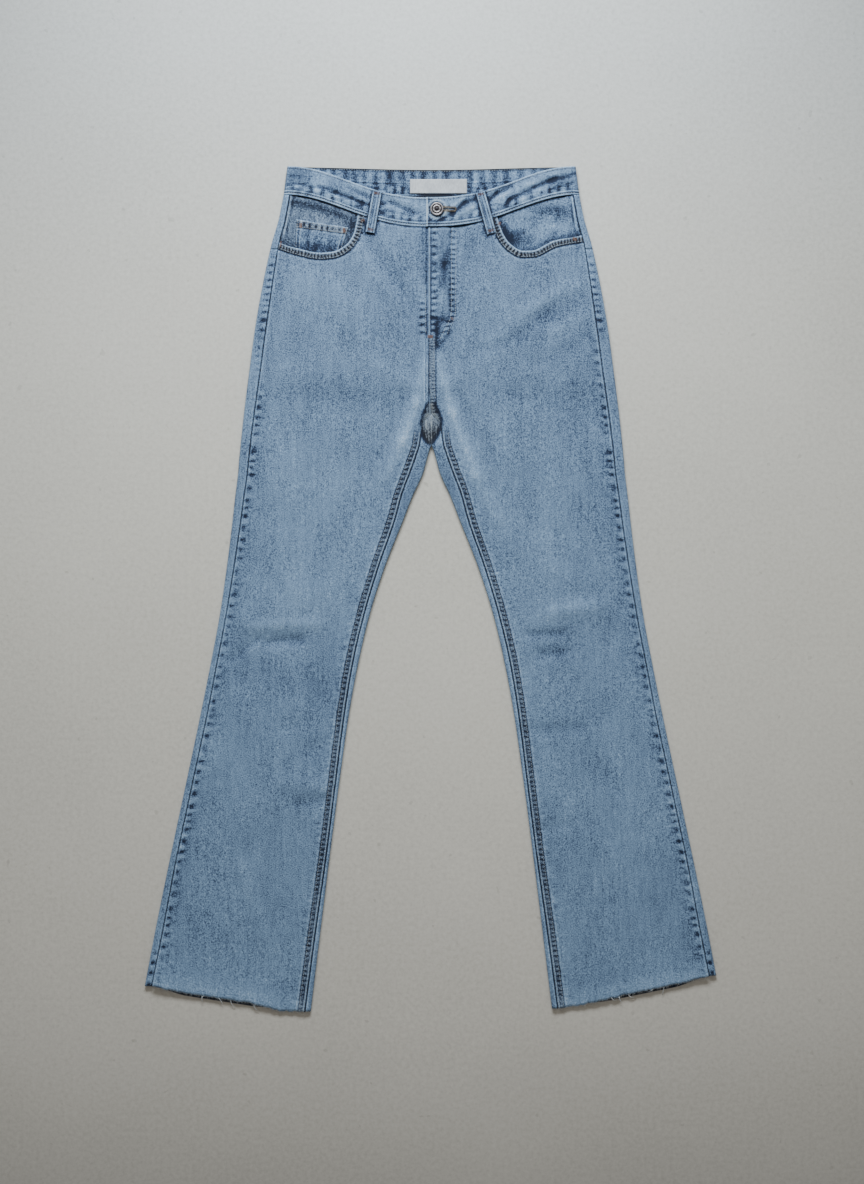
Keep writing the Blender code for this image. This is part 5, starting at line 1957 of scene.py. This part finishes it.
def build_tacks():
    """Dense short bars of rust thread where the cloth takes strain."""
    sewn = Stitches(0.8)
    tacks = list(TACKS)
    for row in FRONT_LOOPS:
        run, drop, _ = loop_run(row)
        for fall in LOOP_TACKS:
            place = (row.top_across + run * fall, row.top_down + drop * fall)
            tacks.append(Tack(*place, 7.5, 2.4, -math.atan2(run, drop), row))
    for tack in tacks:
        bars = max(int(tack.tall / 0.62), 3)
        slide = np.linspace(-tack.tall / 2, tack.tall / 2, bars)
        across = tack.across - slide * math.sin(tack.turn)
        down = tack.down + slide * math.cos(tack.turn)
        if tack.where == "front":
            side = 1 if tack.across > -4.5 else -1
            height = front_point_height(side, side * across, down) + 0.1
        elif tack.where == "coin":
            height = top_height(across, down) - COIN_DROP + SEAM_GAP + PATCH + 0.35
        else:
            row = tack.where
            fall = (down - row.top_down) / (row.low_down - row.top_down)
            height = loop_place(row, 0 * fall, fall)[2] - 0.35
        along = np.zeros((bars, 3))
        along[:, 0] = math.cos(tack.turn)
        along[:, 1] = math.sin(tack.turn)
        for slide_across in np.arange(-tack.wide / 2 + 1.0, tack.wide / 2, 1.7):
            sewn.each(across + slide_across * math.cos(tack.turn),
                      down + slide_across * math.sin(tack.turn), height, along, 2.2)
    return sewn.build("stitches_bartacks", thread_rust, "denim_front_left")


def build_buttonhole():
    """Purl stitching round the slit of the buttonhole, in brown thread."""
    sewn = Stitches(0.85)
    for edge in (-1, 1):
        across = np.arange(BUTTON_ACROSS + EYE_RADIUS, SLIT_END, 0.75)
        down = np.full(across.shape, BUTTON_DOWN + edge * 2.1)
        along = np.zeros((len(across), 3))
        along[:, 1] = 1.0
        along[:, 0] = 0.15
        height = band_height(across, down) + overlap_lift(across) + 0.05
        sewn.each(across, down, height, along, 3.4)
    angles = np.linspace(-1.4, 1.4, 9)
    across = SLIT_END + 1.2 * np.cos(angles)
    down = BUTTON_DOWN + 2.0 * np.sin(angles)
    along = np.stack([np.cos(angles), np.sin(angles), 0 * angles], -1)
    height = band_height(across, down) + overlap_lift(across) + 0.05
    sewn.each(across, down, height, along, 2.2)
    return sewn.build("stitches_buttonhole", thread_brown, "denim_waistband")


def build_fray(side):
    """Loose fibres along the raw hem, and a few longer threads."""
    draw = np.random.default_rng(31 if side > 0 else 32)
    count = 620
    share = draw.uniform(0.01, 0.99, count)
    length = draw.gamma(2.0, 0.9, count) + 0.8
    longer = [0.35, 0.40, 0.46, 0.62, 0.70] if side > 0 else [0.33, 0.48, 0.56, 0.66]
    share = np.concatenate([share, longer])
    length = np.concatenate([length, draw.uniform(8.0, 13.0, len(longer))])
    edge = hem_down(share, side) + ragged_hem(side, share)
    inner = inseam_across(edge) + HALF_GAP
    outer = side_seam_point(edge) - HALF_GAP
    across = lerp(inner, outer, share)
    top = front_point_height(side, across, edge) - draw.uniform(0.3, 1.1, len(share))
    lean = draw.normal(0.0, 0.45, len(share))
    bend = draw.normal(0.0, 0.5, len(share))
    steps = np.linspace(0.0, 1.0, 5)
    thick = draw.uniform(0.12, 0.20, len(share))
    thick[count:] = 0.8
    droop = np.full(len(share), 0.25)
    droop[count:] = 0.08
    points = []
    for step in steps:
        angle = lean + bend * step
        x = across + length * step * np.sin(angle) * side
        y = edge - 0.6 + length * step * np.cos(angle)
        fall = np.maximum(top - droop * (length * step) ** 1.4, 0.35)
        for turn in range(3):
            around = 2 * math.pi * turn / 3
            size = thick * (1.0 - 0.6 * step)
            points.append(np.stack([side * (x + size * math.cos(around)), y,
                                    fall + size * math.sin(around)], -1))
    each = len(points)
    quads = []
    for step in range(len(steps) - 1):
        for turn in range(3):
            near = 3 * step
            after = (turn + 1) % 3
            quads.append((near + turn, near + after, near + 3 + after, near + 3 + turn))
    triangles = [(0, 2, 1), (each - 3, each - 2, each - 1)] + halved(quads)
    strands = np.stack(points, axis=1)
    return small_forms(sided("fray", side), strands, triangles, thread_fray)


# Button section from the cap's underside: radius and height over it
Ring = namedtuple("Ring", "radius height")
CAP = [
    Ring(7.4, 0.0),
    Ring(8.2, 0.25),
    Ring(8.5, 0.8),
    Ring(8.4, 1.3),
    Ring(7.9, 1.75),
    Ring(7.3, 1.9),
    Ring(6.8, 1.75),
    Ring(6.4, 1.35),
    Ring(6.0, 1.25),
    Ring(5.5, 1.35),
    Ring(5.1, 1.75),
    Ring(4.6, 2.05),
    Ring(4.1, 2.1),
    Ring(3.5, 1.95),
    Ring(3.1, 1.5),
    Ring(2.6, 0.9),
    Ring(2.1, 0.75),
    Ring(1.7, 1.2),
    Ring(1.2, 1.45),
    Ring(0.5, 1.55),
]
BUTTON_SIDES = 96
DARK_CENTRE = 2.4
GROOVE = (5.4, 6.5)


def build_button():
    """Turned shank button with a rolled rim, a raised ring and a rivet."""
    cap_base = overlap_top() + SEAM_GAP
    shank_end = overlap_top() - OVERLAP_LIFT + SEAM_GAP
    rings = [Ring(SHANK_RADIUS, shank_end), Ring(SHANK_RADIUS, cap_base)]
    rings += [Ring(row.radius, cap_base + row.height) for row in CAP]
    radius = column(rings, "radius")
    height = column(rings, "height")
    angles = np.linspace(0, 2 * math.pi, BUTTON_SIDES, endpoint=False)
    across = BUTTON_ACROSS + radius[:, None] * np.cos(angles)
    down = BUTTON_DOWN - radius[:, None] * np.sin(angles)
    beat = 0.05 * np.cos(angles * 3 + 0.6) + 0.03 * np.cos(angles * 7)
    raised = height[:, None] + beat * (radius[:, None] > 3.0)
    points = to_world(across, down, raised).reshape(-1, 3)
    index = np.arange(len(rings) * BUTTON_SIDES).reshape(len(rings), BUTTON_SIDES)
    after = np.roll(index, -1, axis=1)
    walls = np.stack([index[:-1], after[:-1], after[1:], index[1:]], -1).reshape(-1, 4)
    mesh = bpy.data.meshes.new("metal_button")
    caps = [list(reversed(index[0].tolist())), index[-1].tolist()]
    mesh.from_pydata(points.tolist(), [], walls.tolist() + caps)
    mesh.materials.append(button_metal)
    mesh.materials.append(dark_metal)
    for ring, row in enumerate(rings[:-1]):
        if rings[ring + 1].radius < DARK_CENTRE or GROOVE[0] < row.radius < GROOVE[1]:
            for face in mesh.polygons[ring * BUTTON_SIDES:(ring + 1) * BUTTON_SIDES]:
                face.material_index = 1
    mesh.polygons[len(walls) + 1].material_index = 1
    mesh.shade_smooth()
    obj = bpy.data.objects.new("metal_button", mesh)
    jeans.objects.link(obj)
    finish_piece(obj, "button")


ZIP_WIDTH = 27.0
ZIP_WALL = 0.8
ZIP_TOP = 88.0
ZIP_LOW = 216.0


def build_zip():
    """Woven zip tape with two rows of closed teeth, hidden by the fly."""
    across, down = np.meshgrid(
        np.linspace(-ZIP_WIDTH / 2, ZIP_WIDTH / 2, 28), np.linspace(ZIP_TOP, ZIP_LOW, 90)
    )
    detail = Detail(across.shape)
    detail.line(np.abs(across) - 12.4, 0.8, height=0.1, tone=0.2)
    top = HIP_LIFT + loft_at(down) - CLOTH - SEAM_GAP
    height = top - 0.3 + np.minimum(detail.height, 0.1)
    dress("zip", (across, down, height), detail, ZIP_WALL, zip_tape)


def build_zip_teeth():
    teeth = Stitches(1.3)
    for side in (-1, 1):
        down = np.arange(ZIP_TOP + 4, ZIP_LOW - 4, 1.7) + 0.42 * side
        across = np.full(down.shape, 1.1 * side)
        along = np.zeros((len(down), 3))
        along[:, 0] = 1.0
        height = HIP_LIFT + loft_at(down) - CLOTH - SEAM_GAP - 0.35
        teeth.each(across, down, height, along, 3.2)
    return teeth.build("zip_teeth", button_metal, "zip_tape")


NOISE_LIFT = 0.0105


class Shader:
    """A material's node tree, with short ways to add to it."""

    def __init__(self, name, roughness, metallic=0.0, sheen=0.0):
        self.material = bpy.data.materials.new(name)
        self.material.use_nodes = True
        self.tree = self.material.node_tree
        self.surface = self.tree.nodes["Principled BSDF"]
        self.surface.inputs["Roughness"].default_value = roughness
        self.surface.inputs["Metallic"].default_value = metallic
        self.surface.inputs["Sheen Weight"].default_value = sheen
        self.surface.inputs["Specular IOR Level"].default_value = 0.5 if metallic else 0.2
        self.place = self.node("ShaderNodeTexCoord").outputs["Object"]

    def node(self, kind, inputs=None, **settings):
        made = self.tree.nodes.new(kind)
        for name, value in settings.items():
            setattr(made, name, value)
        for name, value in (inputs or {}).items():
            self.feed(made.inputs[name], value)
        return made

    def feed(self, socket, value):
        if isinstance(value, bpy.types.NodeSocket):
            self.tree.links.new(value, socket)
        else:
            socket.default_value = value

    def math(self, operation, *values):
        made = self.node("ShaderNodeMath", operation=operation)
        for index, value in enumerate(values):
            self.feed(made.inputs[index], value)
        return made.outputs[0]

    def scaled(self, stretch):
        made = self.node("ShaderNodeVectorMath", operation="MULTIPLY_ADD")
        self.feed(made.inputs[0], self.place)
        made.inputs[1].default_value = stretch
        made.inputs[2].default_value = (0.0, 0.0, NOISE_LIFT)
        return made.outputs[0]

    def noise(self, per_metre, stretch=(1, 1, 1), detail=2.0, roughness=0.5):
        """Noise centred on zero, with that many features a metre."""
        inputs = {"Vector": self.scaled(stretch), "Scale": per_metre,
                  "Detail": detail, "Roughness": roughness}
        made = self.node("ShaderNodeTexNoise", inputs)
        return self.math("SUBTRACT", made.outputs["Fac"], 0.5)

    def total(self, *terms):
        """Sum of pairs of a value and its weight."""
        value = 0.0
        for term, weight in terms:
            value = self.math("MULTIPLY_ADD", term, weight, value)
        return value

    def ramp(self, value, stops):
        made = self.node("ShaderNodeValToRGB", {"Fac": value})
        elements = made.color_ramp.elements
        while len(elements) < len(stops):
            elements.new(0.5)
        for element, (place, colour) in zip(elements, stops):
            element.position = place
            element.color = (*colour, 1.0)
        return made.outputs["Color"]

    def bump(self, height, strength, distance):
        made = self.node("ShaderNodeBump", {"Height": height, "Strength": strength,
                                            "Distance": distance})
        self.feed(self.surface.inputs["Normal"], made.outputs["Normal"])

    def multiplied(self, first, second):
        made = self.node("ShaderNodeVectorMath", operation="MULTIPLY")
        self.feed(made.inputs[0], first)
        self.feed(made.inputs[1], second)
        return made.outputs[0]

    def colour(self, value):
        self.feed(self.surface.inputs["Base Color"], value)


DENIM_STOPS = [
    (0.00, (0.011, 0.018, 0.040)),
    (0.22, (0.040, 0.070, 0.140)),
    (0.38, (0.118, 0.180, 0.286)),
    (0.52, (0.168, 0.260, 0.398)),
    (0.70, (0.212, 0.340, 0.520)),
    (0.88, (0.305, 0.455, 0.655)),
    (1.00, (0.450, 0.600, 0.770)),
]
WARM_STOPS = [
    (0.00, (0.012, 0.013, 0.015)),
    (0.35, (0.075, 0.078, 0.078)),
    (0.60, (0.230, 0.225, 0.195)),
    (1.00, (0.500, 0.480, 0.410)),
]


def denim_material(name, shift=0.0, mottle=1.0):
    """Washed twill: indigo and white threads, worn pale on every ridge; its tone also brings in painted
    shade and painted highlights.
    """
    shader = Shader(name, 0.88, sheen=0.12)
    tone = shader.node("ShaderNodeAttribute", attribute_name="tone").outputs["Fac"]
    seam = shader.node("ShaderNodeAttribute", attribute_name="seam").outputs["Vector"]
    parts = shader.node("ShaderNodeSeparateXYZ", {"Vector": seam})
    phase, strength, streak = parts.outputs
    speck = shader.noise(880, (1, 0.8, 1), 1.0, 0.6)
    slub = shader.noise(240, (1, 0.5, 1), 2.0, 0.6)
    thread = shader.noise(330, (1, 0.06, 1), 1.0, 0.5)
    patch = shader.noise(22, (1, 0.6, 1), 3.0, 0.6)
    fan = shader.noise(260, (0.30, 1, 1), 1.0, 0.5)
    twill = shader.node(
        "ShaderNodeTexWave",
        {"Vector": shader.scaled((1, 1, 0)), "Scale": 480.0, "Distortion": 1.5, "Detail": 1.0},
        bands_direction="DIAGONAL",
    ).outputs["Fac"]
    wave = shader.math("COSINE", shader.math("MULTIPLY", phase, 2 * math.pi))
    rise = shader.math("MULTIPLY_ADD", wave, 0.5, 0.5)
    pulse = shader.math("POWER", rise, 1.8)
    ladder = shader.math("MULTIPLY", strength, shader.math("SUBTRACT", 0.22, pulse))
    fans = shader.math("MULTIPLY", streak, fan)
    value = shader.total(
        (tone, 0.80),
        (speck, 1.50 * mottle),
        (slub, 0.30 * mottle),
        (thread, 0.26 * mottle),
        (patch, 0.36 * mottle),
        (fans, 1.4),
        (ladder, 0.90),
        (shader.math("SUBTRACT", twill, 0.5), 0.05),
    )
    value = shader.math("ADD", value, 0.49 + shift)
    warm = shader.node("ShaderNodeAttribute", attribute_name="warm").outputs["Fac"]
    blend = shader.node("ShaderNodeMix", data_type="RGBA")
    shader.feed(blend.inputs["Factor"], warm)
    shader.feed(blend.inputs[6], shader.ramp(value, DENIM_STOPS))
    shader.feed(blend.inputs[7], shader.ramp(value, WARM_STOPS))
    shader.colour(blend.outputs[2])
    relief = shader.total((speck, 0.8), (slub, 0.5), (twill, 0.30), (ladder, 0.8))
    shader.bump(relief, 0.45, 0.0007)
    return shader.material


def woven_material():
    """Off-white satin of a woven label."""
    shader = Shader("woven_label", 0.6, sheen=0.1)
    weave = shader.noise(700, (1, 0.4, 1), 1.0)
    soil = shader.noise(60, (1, 1, 1), 3.0)
    value = shader.total((weave, 0.7), (soil, 0.8))
    value = shader.math("ADD", value, 0.5)
    shader.colour(shader.ramp(value, [(0.2, (0.40, 0.43, 0.47)), (0.8, (0.66, 0.69, 0.72))]))
    shader.bump(weave, 0.3, 0.0003)
    return shader.material


def thread_material(name, dark, light):
    shader = Shader(name, 0.75, sheen=0.1)
    value = shader.math("ADD", shader.noise(380, (1, 1, 1), 2.0), 0.5)
    shader.colour(shader.ramp(value, [(0.3, dark), (0.7, light)]))
    ply = shader.node("ShaderNodeTexWave", {"Vector": shader.place, "Scale": 900.0},
                      bands_direction="DIAGONAL").outputs["Fac"]
    shader.bump(ply, 0.4, 0.0002)
    return shader.material


def metal_material(name, stops):
    """Worn plating with a trace of copper."""
    shader = Shader(name, 0.38, metallic=0.85)
    wear = shader.noise(900, (1, 1, 1), 3.0, 0.6)
    dots = shader.noise(260, (1, 1, 1), 2.0)
    value = shader.math("ADD", shader.total((wear, 0.9), (dots, 0.7)), 0.5)
    shader.colour(shader.ramp(value, stops))
    shader.feed(shader.surface.inputs["Roughness"], shader.math("MULTIPLY_ADD", wear, 0.4, 0.42))
    shader.bump(wear, 0.25, 0.0002)
    return shader.material


METAL_STOPS = [(0.25, (0.20, 0.18, 0.18)), (0.5, (0.38, 0.36, 0.37)), (0.8, (0.55, 0.54, 0.56))]
DARK_METAL_STOPS = [(0.3, (0.015, 0.014, 0.02)), (0.7, (0.06, 0.05, 0.055))]


def tape_material():
    shader = Shader("zip_tape", 0.85)
    weave = shader.noise(800, (1, 0.4, 1), 1.0)
    value = shader.math("MULTIPLY_ADD", weave, 0.8, 0.5)
    shader.colour(shader.ramp(value, [(0.2, (0.03, 0.05, 0.09)), (0.8, (0.08, 0.11, 0.16))]))
    shader.bump(weave, 0.4, 0.0003)
    return shader.material


# Painted light on the floor, from below the hems to beyond the waist: darker towards the hems, and bluer
# beyond the waist as a painted reflection of the window
PAINTED_FLOOR_FALL = [
    (0.02, (0.555, 0.545, 0.525)),
    (0.17, (0.775, 0.76, 0.73)),
    (0.28, (0.835, 0.82, 0.785)),
    (0.52, (0.88, 0.875, 0.835)),
    (0.74, (0.89, 0.90, 0.885)),
    (0.92, (0.885, 0.94, 0.99)),
]
# painted light: floor brightness at the middle, less towards the sides
FLOOR_GAIN = 1.2
FLOOR_HALF = 3.0
FLOOR_LOW = -0.0004


def painted_floor_light(shader):
    """Painted light: soft change of the floor's colour along and across the picture, darker towards the
    hems and the sides.
    """
    spot = shader.node("ShaderNodeSeparateXYZ", {"Vector": shader.place})
    aside, along = spot.outputs[0], spot.outputs[1]
    fall = shader.ramp(shader.math("MULTIPLY_ADD", along, 0.6, 0.5), PAINTED_FLOOR_FALL)
    beyond = shader.math("MINIMUM", shader.math("MAXIMUM", along, 0.0), 0.8)
    weight = shader.math("MULTIPLY_ADD", shader.math("MULTIPLY", beyond, beyond), 1.8, 0.40)
    squared = shader.math("MINIMUM", shader.math("MULTIPLY", aside, aside), 0.4)
    edge = shader.math("SUBTRACT", FLOOR_GAIN, shader.math("MULTIPLY", weight, squared))
    return shader.multiplied(fall, edge)


def floor_material():
    """Pale smooth concrete with faint clouds and pores."""
    shader = Shader("pale_floor", 0.72)
    cloud = shader.noise(2.6, (1, 1, 1), 4.0, 0.6)
    grain = shader.noise(190, (1, 1, 1), 3.0, 0.7)
    pores = shader.noise(75, (1, 1, 1), 1.0)
    pits = shader.math("GREATER_THAN", pores, 0.27)
    value = shader.math("ADD", shader.total((cloud, 0.45), (grain, 0.9), (pits, -0.25)), 0.5)
    stops = [(0.1, (0.49, 0.475, 0.44)), (0.5, (0.63, 0.61, 0.57)), (0.9, (0.74, 0.72, 0.67))]
    # the floor's colour is multiplied by painted light
    shader.colour(shader.multiplied(shader.ramp(value, stops), painted_floor_light(shader)))
    shader.bump(grain, 0.12, 0.0006)
    return shader.material


denim = {
    "main": denim_material("denim_main"),
    "band": denim_material("denim_band", -0.04),
    "facing": denim_material("denim_facing", -0.05, 1.1),
}
woven = woven_material()
zip_tape = tape_material()
button_metal = metal_material("button_metal", METAL_STOPS)
dark_metal = metal_material("dark_metal", DARK_METAL_STOPS)
thread_pale = thread_material("thread_pale", (0.30, 0.37, 0.44), (0.46, 0.52, 0.57))
thread_tan = thread_material("thread_tan", (0.26, 0.25, 0.22), (0.44, 0.42, 0.36))
thread_rust = thread_material("thread_rust", (0.19, 0.10, 0.08), (0.38, 0.23, 0.18))
thread_brown = thread_material("thread_brown", (0.085, 0.07, 0.055), (0.27, 0.225, 0.175))
thread_fray = thread_material("thread_fray", (0.52, 0.58, 0.63), (0.84, 0.87, 0.88))

for leg_side in (1, -1):
    for build in (build_front, build_back, build_yoke, build_facing, build_back_pocket):
        build(leg_side)
build_coin_pocket()
build_waistband()
for loop_row in LOOPS:
    build_belt_loop(loop_row)
build_label()
build_zip()
build_button()

sewn = {
    "front_left": [leg_stitches(1), build_fray(1)],
    "front_right": [leg_stitches(-1), build_fray(-1)],
    "back_left": [back_stitches(1)],
    "back_right": [back_stitches(-1)],
    "waistband": [band_stitches(), build_buttonhole(), build_tacks()],
    "belt_loop_front_left": [loop_stitches()],
    "coin_pocket": [coin_stitches()],
    "zip": [build_zip_teeth()],
}

# Record of a cloth's flat cut: name, width and length in metres, area in square metres, and what it
# rests on
Cut = namedtuple("Cut", "name width length area rests_on")


def build_stage():
    mesh = bpy.data.meshes.new("floor")
    turns = [(-1, -1), (1, -1), (1, 1), (-1, 1)]
    corners = [(x * FLOOR_HALF, y * FLOOR_HALF, FLOOR_LOW) for x, y in turns]
    mesh.from_pydata(corners, [], [(0, 1, 2, 3)])
    mesh.materials.append(floor_material())
    floor = bpy.data.objects.new("floor", mesh)
    bpy.context.scene.collection.objects.link(floor)


def area_light(name, place, target, size, power, colour):
    lamp = bpy.data.lights.new(name, "AREA")
    lamp.shape = "RECTANGLE"
    lamp.size, lamp.size_y = size
    lamp.energy = power
    lamp.color = colour
    obj = bpy.data.objects.new(name, lamp)
    obj.location = place
    obj.rotation_euler = (Vector(target) - Vector(place)).to_track_quat("-Z", "Y").to_euler()
    bpy.context.scene.collection.objects.link(obj)


def build_lights():
    """A wide window beyond the waist, and soft light from all round."""
    area_light("window", (-0.12, 1.85, 1.25), (0.0, 0.3, 0.0), (1.3, 0.6), 73.0, (0.89, 0.955, 1.0))
    world = bpy.data.worlds.new("soft_room")
    world.use_nodes = True
    sky = world.node_tree.nodes["Background"]
    sky.inputs["Color"].default_value = (1.0, 0.965, 0.905, 1.0)
    sky.inputs["Strength"].default_value = 0.29
    bpy.context.scene.world = world


PIXEL = 1.28
CAMERA_HEIGHT = 2400.0
IMAGE_TALL = 1184
IMAGE_CENTRE = (0.64, 545.3)
SENSOR = 36.0


def build_camera():
    """Straight above, framed as the photograph frames the jeans."""
    lens = bpy.data.cameras.new("camera")
    lens.sensor_width = SENSOR
    lens.lens = SENSOR * CAMERA_HEIGHT / (IMAGE_TALL * PIXEL)
    camera = bpy.data.objects.new("camera", lens)
    place = to_world(IMAGE_CENTRE[0], IMAGE_CENTRE[1], CAMERA_HEIGHT)
    camera.location = place.tolist()
    bpy.context.scene.collection.objects.link(camera)
    bpy.context.scene.camera = camera


build_stage()
build_lights()
build_camera()
